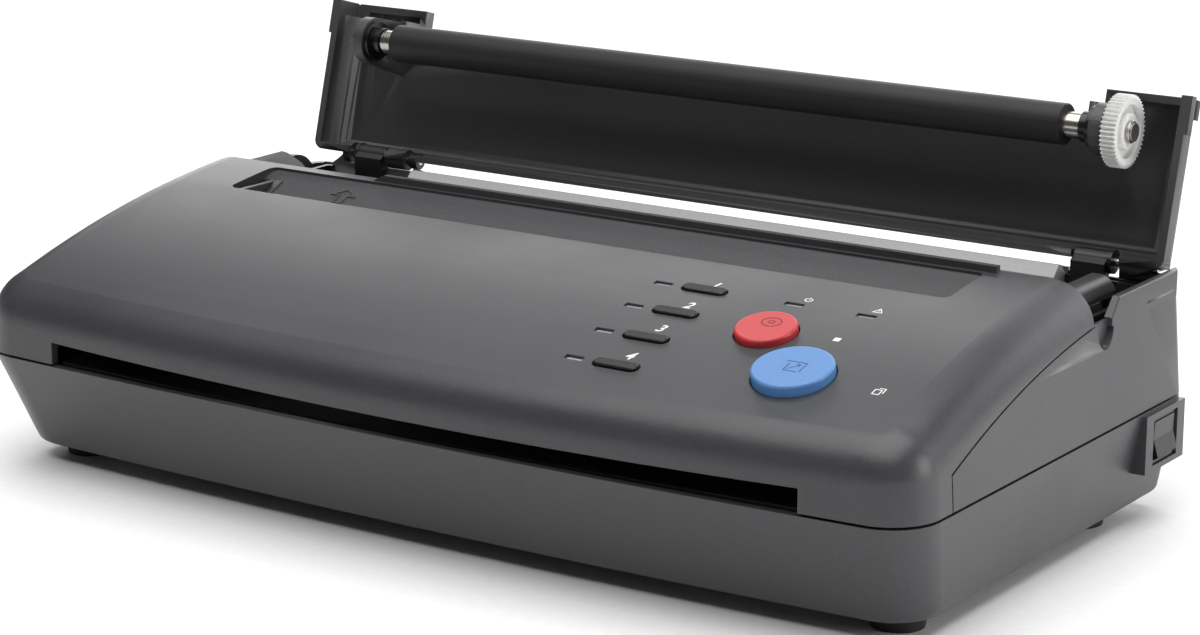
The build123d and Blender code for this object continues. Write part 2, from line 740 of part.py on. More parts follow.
with BuildPart() as chassis:
    with BuildSketch(Plane.YZ):
        Polygon(
            (behind(chassis_front), floor_level - floor_wall), (behind(chassis_rear), floor_level - floor_wall),
            (behind(chassis_rear), chassis_top), (behind(chassis_front), chassis_top), align=None,
        )
    extrude(amount=chassis_half, both=True)
    with BuildSketch(Plane.YZ):
        Polygon(
            (behind(0), floor_level), (behind(chassis_rear) - chassis_wall, floor_level),
            (behind(chassis_rear) - chassis_wall, draft_height), (behind(0), draft_height), align=None,
        )
    extrude(amount=chassis_half - chassis_wall, both=True, mode=Mode.SUBTRACT)
    # rear wall cut down in front of the trim
    with Locations(((trim_right - chassis_half + 2 * chassis_wall) / 2, behind(chassis_rear), chassis_trim_top)):
        Box(trim_right + chassis_half - 2 * chassis_wall, 4 * chassis_wall, floor_level, align=UP, mode=Mode.SUBTRACT)
    # slot that the drive gear stands through
    with Locations((gear_start + gear_face / 2, behind(drive_depth), floor_level)):
        Box(gear_face + 4 * clear, 2 * drive_gear_radius + 2.0, 4 * floor_wall, mode=Mode.SUBTRACT)
chassis.part.label = "chassis"
export_step(chassis.part, "parts/chassis.step")

# ---------------------------------------------------------------- guide deck and its supports
with BuildPart() as head_deck:
    with BuildSketch(Plane.YZ):
        with BuildLine():
            deck_front = behind(chassis_front)
            deck_back = deck_front + deck_depth
            Polyline((deck_front, floor_level), (deck_front, deck_crest - deck_depth / 2))
            ThreePointArc(
                (deck_front, deck_crest - deck_depth / 2), (deck_front + deck_depth / 2, deck_crest),
                (deck_back, deck_crest - deck_depth / 2),
            )
            Polyline(
                (deck_back, deck_crest - deck_depth / 2), (deck_back, cap_top - deck_wall),
                (deck_front + deck_wall, side_top), (deck_front + deck_wall, floor_level + deck_wall),
                (deck_front + deck_foot, floor_level + deck_wall), (deck_front + deck_foot, floor_level),
                (deck_front, floor_level),
            )
        make_face()
    extrude(amount=deck_half, both=True)
    # rounded cap at each end
    for sx in (-1, 1):
        with BuildSketch(Plane.XZ.offset(-behind(chassis_front))):
            with BuildLine():
                Polyline(
                    (sx * deck_half, cap_top - cap_thickness), (sx * deck_half, cap_top),
                    (sx * (cap_outer - cap_radius), cap_top),
                )
                RadiusArc(
                    (sx * (cap_outer - cap_radius), cap_top), (sx * cap_outer, cap_top - cap_radius), sx * cap_radius
                )
                Polyline(
                    (sx * cap_outer, cap_top - cap_radius), (sx * cap_outer, cap_top - cap_thickness),
                    (sx * deck_half, cap_top - cap_thickness),
                )
            make_face()
        extrude(amount=-cap_depth)
    with BuildSketch(Plane.YZ):
        Polygon(
            *[(behind(d), z) for d, z in cap_slope], (behind(depth), cap_slope[-1][1]), (behind(depth), draft_height),
            (behind(cap_slope[0][0]), draft_height), align=None,
        )
    extrude(amount=half_width, both=True, mode=Mode.SUBTRACT)
    # trim in the rear wall's rebate
    with BuildSketch(Plane.XZ.offset(-behind(trim_front))):
        Polygon((trim_left, trim_foot), *trim_outline, (trim_right, trim_foot), align=None)
    extrude(amount=-trim_wall)
head_deck.part.label = "head_deck"
export_step(head_deck.part, "parts/head_deck.step")

with BuildPart() as deck_supports:
    for sx in (-1, 1):
        with BuildSketch(Plane.YZ.offset(sx * (deck_half + clear))):
            Polygon(
                (behind(chassis_front), floor_level), (behind(chassis_front + support_depth), floor_level),
                (behind(chassis_front + support_depth - 1.0), cap_top - cap_thickness),
                (behind(chassis_front), cap_top - cap_thickness), align=None,
            )
        extrude(amount=sx * (chassis_half - chassis_wall - deck_half - 2 * clear))
deck_supports.part.label = "deck_supports"
export_step(deck_supports.part, "parts/deck_supports.step")

# ---------------------------------------------------------------- hinges
pivot = (behind(hinge_depth), hinge_height)
bracket_y = behind(hinge_depth - bracket_front)

for side, name in ((-1, "hinge_bracket_left"), (1, "hinge_bracket_right")):
    near = side * barrel_inner
    with BuildPart() as bracket:
        # plate hanging from the barrel's front, standing on a foot on the bay floor
        with BuildSketch(Plane.YZ.offset(near)):
            with Locations(pivot):
                Circle(barrel_radius)
            Polygon(
                (bracket_y, floor_level), (bracket_y, hinge_height), (pivot[0], hinge_height + barrel_radius),
                (pivot[0], hinge_height - barrel_radius), (bracket_y + bracket_wall, hinge_height - bracket_front),
                (bracket_y + bracket_wall, floor_level), align=None,
            )
            Polygon(
                (bracket_y - bracket_foot, floor_level), (bracket_y - bracket_foot, floor_level + bracket_wall),
                (bracket_y, floor_level + bracket_wall), (bracket_y, floor_level), align=None,
            )
        extrude(amount=side * (barrel_outer - barrel_inner - collar_length))
        with BuildSketch(Plane.YZ.offset(side * (barrel_outer - collar_length))):
            with Locations(pivot):
                Circle(barrel_collar)
        extrude(amount=side * collar_length)
        with BuildSketch(Plane.YZ.offset(near)):
            with Locations(pivot):
                Circle(pin_radius + press_clearance)
        extrude(amount=side * (barrel_outer - barrel_inner), mode=Mode.SUBTRACT)
    bracket.part.label = name
    export_step(bracket.part, f"parts/{name}.step")

pin_reach = lid_half - lid_wall - 0.5
for name, start, end in (
    ("hinge_pin_left", -left_tab_outer, -pin_bush_inner),
    ("hinge_pin_right", barrel_inner, pin_reach),
):
    with BuildPart() as pin:
        with BuildSketch(Plane.YZ.offset(start)):
            with Locations(pivot):
                Circle(pin_radius)
        extrude(amount=end - start)
        chamfer(pin.edges().filter_by(GeomType.CIRCLE), 0.2)
    pin.part.label = name
    export_step(pin.part, f"parts/{name}.step")

with BuildPart() as hinge_bush:
    with BuildSketch(Plane.YZ.offset(-pin_bush_outer)):
        with Locations(pivot):
            Circle(pin_bush_radius)
            Circle(pin_radius + press_clearance, mode=Mode.SUBTRACT)
    extrude(amount=pin_bush_outer - pin_bush_inner - 0.2)
hinge_bush.part.label = "hinge_bush"
export_step(hinge_bush.part, "parts/hinge_bush.step")

# ---------------------------------------------------------------- lid


def lid_form(inset):
    """The lid's rounded pan, or, inset by the wall, the hollow inside it."""
    half = lid_half
    hollow_lift = 4 * inset
    with BuildPart() as form:
        with BuildSketch(lid_plane.offset(lid_skin + inset)):
            with BuildLine():
                Polyline(
                    (-half, -lid_edge_drop), (half, -lid_edge_drop), (half, lid_free_edge), (notch_length / 2, lid_free_edge),
                    (notch_length / 2, lid_free_edge - notch_depth), (-notch_length / 2, lid_free_edge - notch_depth),
                    (-notch_length / 2, lid_free_edge), (-half, lid_free_edge), close=True,
                )
            make_face()
            if inset:
                offset(amount=-inset, kind=Kind.INTERSECTION, mode=Mode.REPLACE)
        extrude(amount=lid_depth - inset + hollow_lift)
        # section along the lid: rounded hinge edge and free edge
        with BuildSketch(across_lid(0)) as profile:
            with Locations(((lid_free_edge - lid_edge_drop) / 2, lid_skin + inset)):
                Rectangle(lid_length - 2 * inset, 2 * lid_depth, align=(Align.CENTER, Align.MIN))
            low = profile.vertices().group_by(Axis.Y)[0].sort_by(Axis.X)
            fillet(low[0], lid_hinge_radius - inset)
            fillet(low[-1], lid_edge_radius - inset)
        extrude(amount=lid_width, both=True, mode=Mode.INTERSECT)
        # section across the lid: rounded sides
        with BuildSketch(Plane(origin=lid_plane.origin, x_dir=lid_plane.x_dir, z_dir=-lid_plane.y_dir)) as section:
            with Locations((0, lid_skin + inset)):
                Rectangle(lid_width - 2 * inset, 2 * lid_depth, align=(Align.CENTER, Align.MIN))
            fillet(section.vertices().group_by(Axis.Y)[0], lid_end_radius - inset)
        extrude(amount=2 * lid_length, both=True, mode=Mode.INTERSECT)
    return form.part


def lid_block(x0, x1, u0, u1, w0, w1):
    """Block between two corners given across, along and out of the lid."""
    with BuildSketch(lid_plane.offset(w0)) as face:
        with Locations(((x0 + x1) / 2, (u0 + u1) / 2)):
            Rectangle(abs(x1 - x0), u1 - u0)
    return extrude(face.sketch, amount=w1 - w0, mode=Mode.PRIVATE)


def lid_disc(x0, x1, radius):
    """Cylinder round the hinge axis from x0 to x1."""
    with BuildSketch(across_lid(x0)) as face:
        Circle(radius)
    return extrude(face.sketch, amount=x1 - x0, mode=Mode.PRIVATE)


lid_outside = lid_form(0.0)
lid_inside = lid_form(lid_wall)
rim = lid_rim_reach + 1.0
platen_axis = (platen_along, platen_reach)

with BuildPart() as lid:
    add(lid_outside)
    add(lid_inside, mode=Mode.SUBTRACT)
    # low rims: between the ears under the platen, and at the front of the ears
    centre_edge = lid_free_edge - notch_depth
    add(lid_block(-notch_length / 2, notch_length / 2, centre_edge - 2 * lid_wall, lid_length, lid_skin + centre_rim, rim),
        mode=Mode.SUBTRACT)
    for sx in (-1, 1):
        add(lid_block(sx * (notch_length / 2 - 1.0), sx * (lid_half - lid_wall), lid_free_edge - 2 * lid_wall, lid_length,
                      lid_skin + ear_rim, rim), mode=Mode.SUBTRACT)
        # finger tab on the outside of the ear
        add(lid_block(sx * (lid_half - lid_wall), sx * (lid_half + tab_reach), lid_free_edge - tab_length, lid_free_edge,
                      lid_skin + lid_end_radius, lid_rim_reach))
    # knuckles on the hinge axis
    add(lid_disc(right_knuckle, lid_half - lid_wall, lid_knuckle_radius))
    add(lid_disc(-left_tab_outer, -left_tab_inner, lid_knuckle_radius))
    add(lid_disc(-left_arch_outer, -left_arch_inner, lid_knuckle_radius))
    # gaps in the hinge edge for the bracket barrels and the pin's bush
    for x0, x1 in (
        (barrel_inner - knuckle_gap, right_knuckle),
        (-left_tab_inner, -left_arch_outer),
        (-left_arch_inner, -pin_bush_inner + knuckle_gap),
    ):
        add(lid_block(x0, x1, -notch_round, notch_round, -notch_round, rim), mode=Mode.SUBTRACT)
    # bores for the hinge pins
    add(lid_disc(-left_tab_outer - 1.0, -left_arch_inner + 1.0, pin_radius + running_clearance), mode=Mode.SUBTRACT)
    add(lid_disc(right_knuckle - 1.0, lid_half - lid_wall, pin_radius + running_clearance), mode=Mode.SUBTRACT)
    # bearing post for each end of the platen
    for x0 in (post_inner, -post_inner - post_wall):
        with BuildSketch(across_lid(x0)):
            with Locations(platen_axis):
                Circle(post_round)
            Polygon(
                (platen_along - post_round, platen_reach), (platen_along - post_base / 2 - 2.0, lid_skin + lid_wall / 2),
                (platen_along + post_base / 2, lid_skin + lid_wall / 2), (platen_along + post_round, platen_reach),
                align=None,
            )
            with Locations(platen_axis):
                Circle(bush_radius + press_clearance, mode=Mode.SUBTRACT)
        extrude(amount=post_wall)
lid.part.label = "lid"
export_step(lid.part, "parts/lid.step")

# ---------------------------------------------------------------- platen


def turned(points):
    """Solid turned about the platen axis from points given as (across, radius)."""
    middle = lid_plane.from_local_coords((0, *platen_axis))
    with BuildSketch(Plane(origin=middle, x_dir=lid_plane.x_dir, z_dir=-lid_plane.y_dir)) as half:
        Polygon(*points, align=None)
    return revolve(half.sketch, axis=Axis(middle, (1, 0, 0)), mode=Mode.PRIVATE)


clip_start = gear_start + gear_face + clear
groove_radius = journal_radius - clip_groove

with BuildPart() as platen_shaft:
    add(turned([
        (-shaft_left, 0), (-shaft_left, journal_radius), (-shaft_middle / 2, journal_radius), (-shaft_middle / 2, shaft_radius),
        (shaft_middle / 2, shaft_radius), (shaft_middle / 2, journal_radius), (clip_start, journal_radius),
        (clip_start, groove_radius), (clip_start + clip_wall, groove_radius), (clip_start + clip_wall, journal_radius),
        (shaft_right, journal_radius), (shaft_right, 0),
    ]))
platen_shaft.part.label = "platen_shaft"
export_step(platen_shaft.part, "parts/platen_shaft.step")

with BuildPart() as platen_roller:
    add(turned([
        (-platen_length / 2, shaft_radius + press_clearance), (-platen_length / 2, platen_radius - 0.3),
        (-platen_length / 2 + 0.3, platen_radius), (platen_length / 2 - 0.3, platen_radius),
        (platen_length / 2, platen_radius - 0.3), (platen_length / 2, shaft_radius + press_clearance),
    ]))
platen_roller.part.label = "platen_roller"
export_step(platen_roller.part, "parts/platen_roller.step")

bush_start = shaft_middle / 2 + clear
for sx, name in ((-1, "platen_bush_left"), (1, "platen_bush_right")):
    with BuildPart() as bush:
        add(turned([
            (sx * bush_start, journal_radius + running_clearance), (sx * bush_start, bush_radius),
            (sx * (post_inner - bush_flange), bush_radius), (sx * (post_inner - bush_flange), bush_flange_radius),
            (sx * post_inner, bush_flange_radius), (sx * post_inner, bush_radius),
            (sx * (post_inner + post_wall), bush_radius), (sx * (post_inner + post_wall), journal_radius + running_clearance),
        ]))
    bush.part.label = name
    export_step(bush.part, f"parts/{name}.step")

with BuildPart() as platen_gear:
    with BuildSketch(Plane(origin=lid_plane.from_local_coords((gear_start, *platen_axis)), x_dir=(0, 1, 0), z_dir=(1, 0, 0))):
        add(spur_gear(platen_teeth, gear_module, 0.0))
        Circle(journal_radius + press_clearance, mode=Mode.SUBTRACT)
    extrude(amount=gear_face)
    # dished outer face, leaving the hub and the rim
    with BuildSketch(Plane(origin=lid_plane.from_local_coords((gear_start + gear_face, *platen_axis)), x_dir=(0, 1, 0), z_dir=(1, 0, 0))):
        Circle(platen_gear_radius - 2.6)
        Circle(clip_radius + 1.0, mode=Mode.SUBTRACT)
    extrude(amount=-gear_dish, mode=Mode.SUBTRACT)
platen_gear.part.label = "platen_gear"
export_step(platen_gear.part, "parts/platen_gear.step")

with BuildPart() as gear_clip:
    add(turned([
        (clip_start, groove_radius + press_clearance), (clip_start, clip_radius),
        (clip_start + clip_wall - 0.05, clip_radius), (clip_start + clip_wall - 0.05, groove_radius + press_clearance),
    ]))
gear_clip.part.label = "gear_clip"
export_step(gear_clip.part, "parts/gear_clip.step")

# ---------------------------------------------------------------- print head
head_top = closed_height - platen_radius - nip_gap
head_strip_bottom = floor_level + sink_height

with BuildPart() as heat_sink:
    with Locations((0, behind(closed_depth), floor_level)):
        Box(2 * head_half, sink_width, sink_height, align=UP)
heat_sink.part.label = "heat_sink"
export_step(heat_sink.part, "parts/heat_sink.step")

with BuildPart() as print_head:
    with BuildSketch(Plane.YZ):
        with BuildLine():
            Polyline(
                (behind(closed_depth) + bead_radius, head_top - bead_radius), (behind(closed_depth) + head_width / 2, head_top - bead_radius),
                (behind(closed_depth) + head_width / 2, head_strip_bottom), (behind(closed_depth) - head_width / 2, head_strip_bottom),
                (behind(closed_depth) - head_width / 2, head_top - bead_radius), (behind(closed_depth) - bead_radius, head_top - bead_radius),
            )
            ThreePointArc(
                (behind(closed_depth) - bead_radius, head_top - bead_radius), (behind(closed_depth), head_top),
                (behind(closed_depth) + bead_radius, head_top - bead_radius),
            )
        make_face()
    extrude(amount=head_half - 1.0, both=True)
print_head.part.label = "print_head"
export_step(print_head.part, "parts/print_head.step")

# ---------------------------------------------------------------- drive under the bay
with BuildPart() as drive_gear:
    with BuildSketch(side_plane(gear_start, drive_depth, drive_height)):
        add(spur_gear(drive_teeth, gear_module, degrees(atan2(pinion_height - drive_height, pinion_shift))))
        Circle(drive_screw_radius + running_clearance, mode=Mode.SUBTRACT)
    extrude(amount=gear_face)
drive_gear.part.label = "drive_gear"
export_step(drive_gear.part, "parts/drive_gear.step")

with BuildPart() as drive_screw:
    with BuildSketch(side_plane(motor_plate_start + motor_plate_wall, drive_depth, drive_height)):
        Circle(drive_screw_head)
    extrude(amount=gear_start - motor_plate_start - motor_plate_wall - clear)
    with BuildSketch(side_plane(motor_plate_start, drive_depth, drive_height)):
        Circle(drive_screw_radius)
    extrude(amount=gear_start + gear_face + clear - motor_plate_start)
    with BuildSketch(side_plane(gear_start + gear_face + clear, drive_depth, drive_height)):
        Circle(drive_screw_head)
    extrude(amount=1.0)
drive_screw.part.label = "drive_screw"
export_step(drive_screw.part, "parts/drive_screw.step")

with BuildPart() as motor_pinion:
    with BuildSketch(side_plane(gear_start, pinion_depth, pinion_height)):
        facing = degrees(atan2(drive_height - pinion_height, -pinion_shift))
        add(spur_gear(pinion_teeth, gear_module, facing + 180.0 / pinion_teeth))
        Circle(motor_shaft_radius + press_clearance, mode=Mode.SUBTRACT)
    extrude(amount=gear_face)
motor_pinion.part.label = "motor_pinion"
export_step(motor_pinion.part, "parts/motor_pinion.step")

with BuildPart() as motor_shaft:
    with BuildSketch(side_plane(motor_plate_start - 2.0, pinion_depth, pinion_height)):
        Circle(motor_shaft_radius)
    extrude(amount=gear_start + gear_face + clear - motor_plate_start + 2.0)
motor_shaft.part.label = "motor_shaft"
export_step(motor_shaft.part, "parts/motor_shaft.step")

with BuildPart() as drive_motor:
    with BuildSketch(side_plane(motor_plate_start - motor_length, pinion_depth, pinion_height)):
        Circle(motor_radius)
    extrude(amount=motor_length)
    with BuildSketch(side_plane(motor_plate_start, pinion_depth, pinion_height)):
        Circle(motor_shaft_radius + running_clearance)
    extrude(amount=-2.5, mode=Mode.SUBTRACT)
drive_motor.part.label = "drive_motor"
export_step(drive_motor.part, "parts/drive_motor.step")

with BuildPart() as motor_plate:
    with BuildSketch(side_plane(motor_plate_start, (drive_depth + pinion_depth) / 2, 0)):
        with Locations((0, floor_top)):
            Rectangle(
                2 * motor_radius + 4.0, floor_level - floor_wall - clear - floor_top, align=(Align.CENTER, Align.MIN)
            )
        with Locations((drive_depth - (drive_depth + pinion_depth) / 2, drive_height)):
            Circle(drive_screw_radius + press_clearance, mode=Mode.SUBTRACT)
        with Locations((pinion_depth - (drive_depth + pinion_depth) / 2, pinion_height)):
            Circle(motor_shaft_radius + 1.0, mode=Mode.SUBTRACT)
    extrude(amount=motor_plate_wall)
motor_plate.part.label = "motor_plate"
export_step(motor_plate.part, "parts/motor_plate.step")

# ---------------------------------------------------------------- scanner
with BuildPart() as scan_frame:
    for sx in (-1, 1):
        with BuildSketch(Plane.YZ.offset(sx * scan_frame_half)):
            with Locations((behind(scan_depth), floor_top)):
                Rectangle(scan_frame_depth, scan_height - floor_top, align=(Align.CENTER, Align.MIN))
            with Locations((behind(scan_depth), scan_height)):
                Circle(scan_frame_depth / 2)
            with Locations((behind(scan_depth), scan_height)):
                Circle(scan_journal + running_clearance, mode=Mode.SUBTRACT)
        extrude(amount=-sx * scan_frame_wall)
    with Locations((0, behind(scan_depth), scan_shelf)):
        Box(2 * scan_frame_half, scan_frame_depth, scan_frame_wall, align=UP)
scan_frame.part.label = "scan_frame"
export_step(scan_frame.part, "parts/scan_frame.step")

with BuildPart() as image_sensor:
    with Locations((0, behind(scan_depth), scan_shelf + scan_frame_wall)):
        Box(2 * sensor_half, scan_frame_depth, sensor_top - glass_wall - scan_shelf - scan_frame_wall, align=UP)
image_sensor.part.label = "image_sensor"
export_step(image_sensor.part, "parts/image_sensor.step")

with BuildPart() as sensor_glass:
    with Locations((0, behind(scan_depth), sensor_top - glass_wall)):
        Box(2 * sensor_half, scan_frame_depth, glass_wall, align=UP)
sensor_glass.part.label = "sensor_glass"
export_step(sensor_glass.part, "parts/sensor_glass.step")

with BuildPart() as scan_roller:
    with BuildSketch(side_plane(-scan_length / 2, scan_depth, scan_height)):
        Circle(scan_radius)
        Circle(scan_journal + press_clearance, mode=Mode.SUBTRACT)
    extrude(amount=scan_length)
scan_roller.part.label = "scan_roller"
export_step(scan_roller.part, "parts/scan_roller.step")

scan_gear_end = -scan_gear_start - scan_gear_face
with BuildPart() as scan_shaft:
    with BuildSketch(side_plane(scan_gear_end - clear, scan_depth, scan_height)):
        Circle(scan_journal)
    extrude(amount=scan_frame_half + 1.0 - scan_gear_end + clear)
scan_shaft.part.label = "scan_shaft"
export_step(scan_shaft.part, "parts/scan_shaft.step")

with BuildPart() as scan_gear:
    with BuildSketch(side_plane(scan_gear_end, scan_depth, scan_height)):
        toward = degrees(atan2(scan_pinion_rise, scan_pinion_depth - scan_depth))
        add(spur_gear(scan_teeth, scan_module, toward))
        Circle(scan_journal + press_clearance, mode=Mode.SUBTRACT)
    extrude(amount=scan_gear_face)
scan_gear.part.label = "scan_gear"
export_step(scan_gear.part, "parts/scan_gear.step")

with BuildPart() as scan_pinion:
    with BuildSketch(side_plane(scan_gear_end, scan_pinion_depth, scan_pinion_height)):
        add(spur_gear(scan_pinion_teeth, scan_module, toward + 180.0 + 180.0 / scan_pinion_teeth))
        Circle(motor_shaft_radius + press_clearance, mode=Mode.SUBTRACT)
    extrude(amount=scan_gear_face)
scan_pinion.part.label = "scan_pinion"
export_step(scan_pinion.part, "parts/scan_pinion.step")

with BuildPart() as scan_motor_shaft:
    with BuildSketch(side_plane(scan_gear_end - clear, scan_pinion_depth, scan_pinion_height)):
        Circle(motor_shaft_radius)
    extrude(amount=-scan_frame_half + scan_frame_wall + 2.0 - scan_gear_end + clear)
scan_motor_shaft.part.label = "scan_motor_shaft"
export_step(scan_motor_shaft.part, "parts/scan_motor_shaft.step")

with BuildPart() as scan_motor:
    with BuildSketch(side_plane(-scan_frame_half + scan_frame_wall, scan_pinion_depth, scan_pinion_height)):
        Circle(scan_motor_radius)
    extrude(amount=scan_motor_length)
    with BuildSketch(side_plane(-scan_frame_half + scan_frame_wall, scan_pinion_depth, scan_pinion_height)):
        Circle(motor_shaft_radius + running_clearance)
    extrude(amount=2.5, mode=Mode.SUBTRACT)
scan_motor.part.label = "scan_motor"
export_step(scan_motor.part, "parts/scan_motor.step")

# ---------------------------------------------------------------- exit tray
tray_front = behind(wall + clear)
tray_inset = wall + clear + front_draft * (parting_height - tray_front_height + tray_wall) / (parting_height - foot_height)
tray_slope = (tray_rear_height - tray_front_height) / (behind(tray_rear) - tray_front)

with BuildPart() as exit_tray:
    with BuildSketch(Plane.YZ):
        Polygon(
            (tray_front, tray_front_height - tray_wall), (tray_front, tray_front_height),
            (behind(tray_rear), tray_rear_height), (behind(tray_rear), tray_rear_height - tray_wall), align=None,
        )
    extrude(amount=tray_half, both=True)
    # ribs that carry the sheet to the slot
    for i in range(tray_rib_count):
        with BuildSketch(Plane.YZ.offset((i - (tray_rib_count - 1) / 2) * tray_rib_pitch)):
            Polygon(
                (tray_front + tray_rib_start, tray_front_height), (behind(tray_rear), tray_rear_height - tray_wall / 2),
                (behind(tray_rear), tray_rear_height + tray_rib_rise),
                (tray_front + tray_rib_start + 2.0, tray_front_height + tray_rib_rise + 2.0 * tray_slope), align=None,
            )
        extrude(amount=tray_rib_width / 2, both=True)
    # the front edge follows the bow of the casing
    with BuildSketch(Plane.XY):
        add(casing_plan(0.0, half_width, 0.0, 0.0, tray_inset))
    extrude(amount=parting_height + exit_slot_top, mode=Mode.INTERSECT)
    for x in (-tray_leg_x, tray_leg_x):
        for d in tray_leg_depths:
            with Locations((x, behind(d), floor_top)):
                leg_top = tray_front_height + tray_slope * (behind(d) - tray_front) - tray_wall / 2
                Cylinder(tray_leg_radius, leg_top - floor_top, align=UP)
exit_tray.part.label = "exit_tray"
export_step(exit_tray.part, "parts/exit_tray.step")

# ---------------------------------------------------------------- boards and power
board_middle = behind(sum(board_post_depths) / 2)

with BuildPart() as main_board:
    with BuildSketch(Plane.XY.offset(board_level)):
        with Locations((0, board_middle)):
            Rectangle(main_board_length, main_board_width)
        with Locations(*board_places):
            Circle(screw_radius + running_clearance, mode=Mode.SUBTRACT)
    extrude(amount=board_thickness)
main_board.part.label = "main_board"
export_step(main_board.part, "parts/main_board.step")

with BuildPart() as board_screws:
    with Locations(*[(x, y, board_level + board_thickness) for x, y in board_places]):
        Cylinder(screw_radius, board_screw_length, align=DOWN)
        Cylinder(screw_head_radius, screw_head_height, align=UP)
board_screws.part.label = "board_screws"
export_step(board_screws.part, "parts/board_screws.step")

with BuildPart() as power_supply:
    with Locations((supply_x, behind(supply_depth), floor_top)):
        Box(supply_length, supply_width, supply_height, align=UP)
power_supply.part.label = "power_supply"
export_step(power_supply.part, "parts/power_supply.step")

inlet_face = depth - rear_draft
with BuildPart() as power_inlet:
    with BuildSketch(rear_plane(inlet_x, inlet_level, inlet_face)):
        RectangleRounded(inlet_width, inlet_height, inlet_corner)
    extrude(amount=-inlet_body)
    with BuildSketch(rear_plane(inlet_x, inlet_level, inlet_face)):
        RectangleRounded(inlet_width - 2 * switch_wall, inlet_height - 2 * switch_wall, inlet_corner - switch_wall)
    extrude(amount=-inlet_body + 2 * switch_wall, mode=Mode.SUBTRACT)
    # two contact pins in the socket
    with BuildSketch(rear_plane(inlet_x, inlet_level, inlet_face - 2.0)):
        with GridLocations(inlet_width / 2, 1.0, 2, 1):
            Circle(1.2)
    extrude(amount=-inlet_body + 3.0)
power_inlet.part.label = "power_inlet"
export_step(power_inlet.part, "parts/power_inlet.step")

# ---------------------------------------------------------------- power switch
with BuildPart() as switch_housing:
    with BuildSketch(side_plane(bezel_face - switch_sink, switch_at, switch_level)):
        Rectangle(switch_length, switch_height)
    extrude(amount=-switch_body)
    with BuildSketch(side_plane(bezel_face - switch_sink, switch_at, switch_level)):
        Rectangle(switch_length - 2 * switch_wall, switch_height - 2 * switch_wall)
    extrude(amount=-switch_body / 2, mode=Mode.SUBTRACT)
    with Locations((rocker_pivot, behind(switch_at), switch_level)):
        Cylinder(rocker_pin + running_clearance, switch_length + 1.0, rotation=(90, 0, 0), mode=Mode.SUBTRACT)
switch_housing.part.label = "switch_housing"
export_step(switch_housing.part, "parts/switch_housing.step")

with BuildPart() as power_rocker:
    tilt = radians(rocker_tilt)
    outline = [
        (-rocker_back, -rocker_height / 2), (rocker_reach, -rocker_height / 2), (rocker_reach - rocker_dip, 0),
        (rocker_reach, rocker_height / 2), (-rocker_back, rocker_height / 2),
    ]
    with BuildSketch(Plane.XZ.offset(-behind(switch_at))):
        Polygon(
            *[(rocker_pivot + x * cos(tilt) - z * sin(tilt), switch_level + x * sin(tilt) + z * cos(tilt)) for x, z in outline],
            align=None,
        )
    extrude(amount=rocker_length / 2, both=True)
    with Locations((rocker_pivot, behind(switch_at), switch_level)):
        Cylinder(rocker_pin, switch_length - 0.4, rotation=(90, 0, 0))
power_rocker.part.label = "power_rocker"
export_step(power_rocker.part, "parts/power_rocker.step")
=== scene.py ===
"""Thermal stencil copier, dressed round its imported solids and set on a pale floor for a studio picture.

Lengths are metres. +X is the operator's right, -Y the front with the exit slot, and the feet stand on Z = 0.
"""

from math import asin, cos, pi, radians, sin, sqrt

import bpy
from mathutils import Matrix, Vector


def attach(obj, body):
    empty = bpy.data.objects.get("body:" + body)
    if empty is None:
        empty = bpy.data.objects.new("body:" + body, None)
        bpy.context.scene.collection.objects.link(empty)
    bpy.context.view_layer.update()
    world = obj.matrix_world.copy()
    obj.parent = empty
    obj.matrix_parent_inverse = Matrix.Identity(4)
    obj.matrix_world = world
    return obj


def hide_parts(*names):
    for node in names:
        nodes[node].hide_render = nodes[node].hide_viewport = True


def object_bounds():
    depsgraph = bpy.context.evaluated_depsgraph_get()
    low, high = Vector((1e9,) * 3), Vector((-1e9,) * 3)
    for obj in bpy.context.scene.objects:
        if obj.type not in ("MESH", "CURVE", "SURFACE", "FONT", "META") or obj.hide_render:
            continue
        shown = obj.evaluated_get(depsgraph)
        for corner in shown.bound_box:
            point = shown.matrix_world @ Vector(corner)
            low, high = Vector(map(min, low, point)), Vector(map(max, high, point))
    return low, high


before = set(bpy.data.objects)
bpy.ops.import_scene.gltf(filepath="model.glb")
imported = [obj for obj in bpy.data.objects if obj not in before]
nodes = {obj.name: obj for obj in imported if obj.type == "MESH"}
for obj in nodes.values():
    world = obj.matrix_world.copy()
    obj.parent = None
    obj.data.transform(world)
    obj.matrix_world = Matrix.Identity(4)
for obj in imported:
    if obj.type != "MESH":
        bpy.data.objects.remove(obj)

MM = 0.001
cad_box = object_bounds()
front_reach = -cad_box[0][1] / MM  # how far the front lies ahead of the origin, in mm

# ---------------------------------------------------------------- casing
# Three shells of grey ABS, injection moulded in tools with a fine spark-eroded grain: the tapered base, the arched
# front cover and the rear housing. They meet at open seams and are held by four screws from below.


def linear(code):
    """An sRGB hex colour as linear RGBA."""
    channels = [int(code[i : i + 2], 16) / 255 for i in (1, 3, 5)]
    return [c / 12.92 if c <= 0.04045 else ((c + 0.055) / 1.055) ** 2.4 for c in channels] + [1.0]


def new_material(name, **shader):
    """A material with its shader's uniform numbers set; an underscore in a name stands for a space."""
    material = bpy.data.materials.new(name)
    material.use_nodes = True
    sockets = material.node_tree.nodes["Principled BSDF"].inputs
    for socket, value in shader.items():
        sockets[socket.replace("_", " ")].default_value = value
    return material


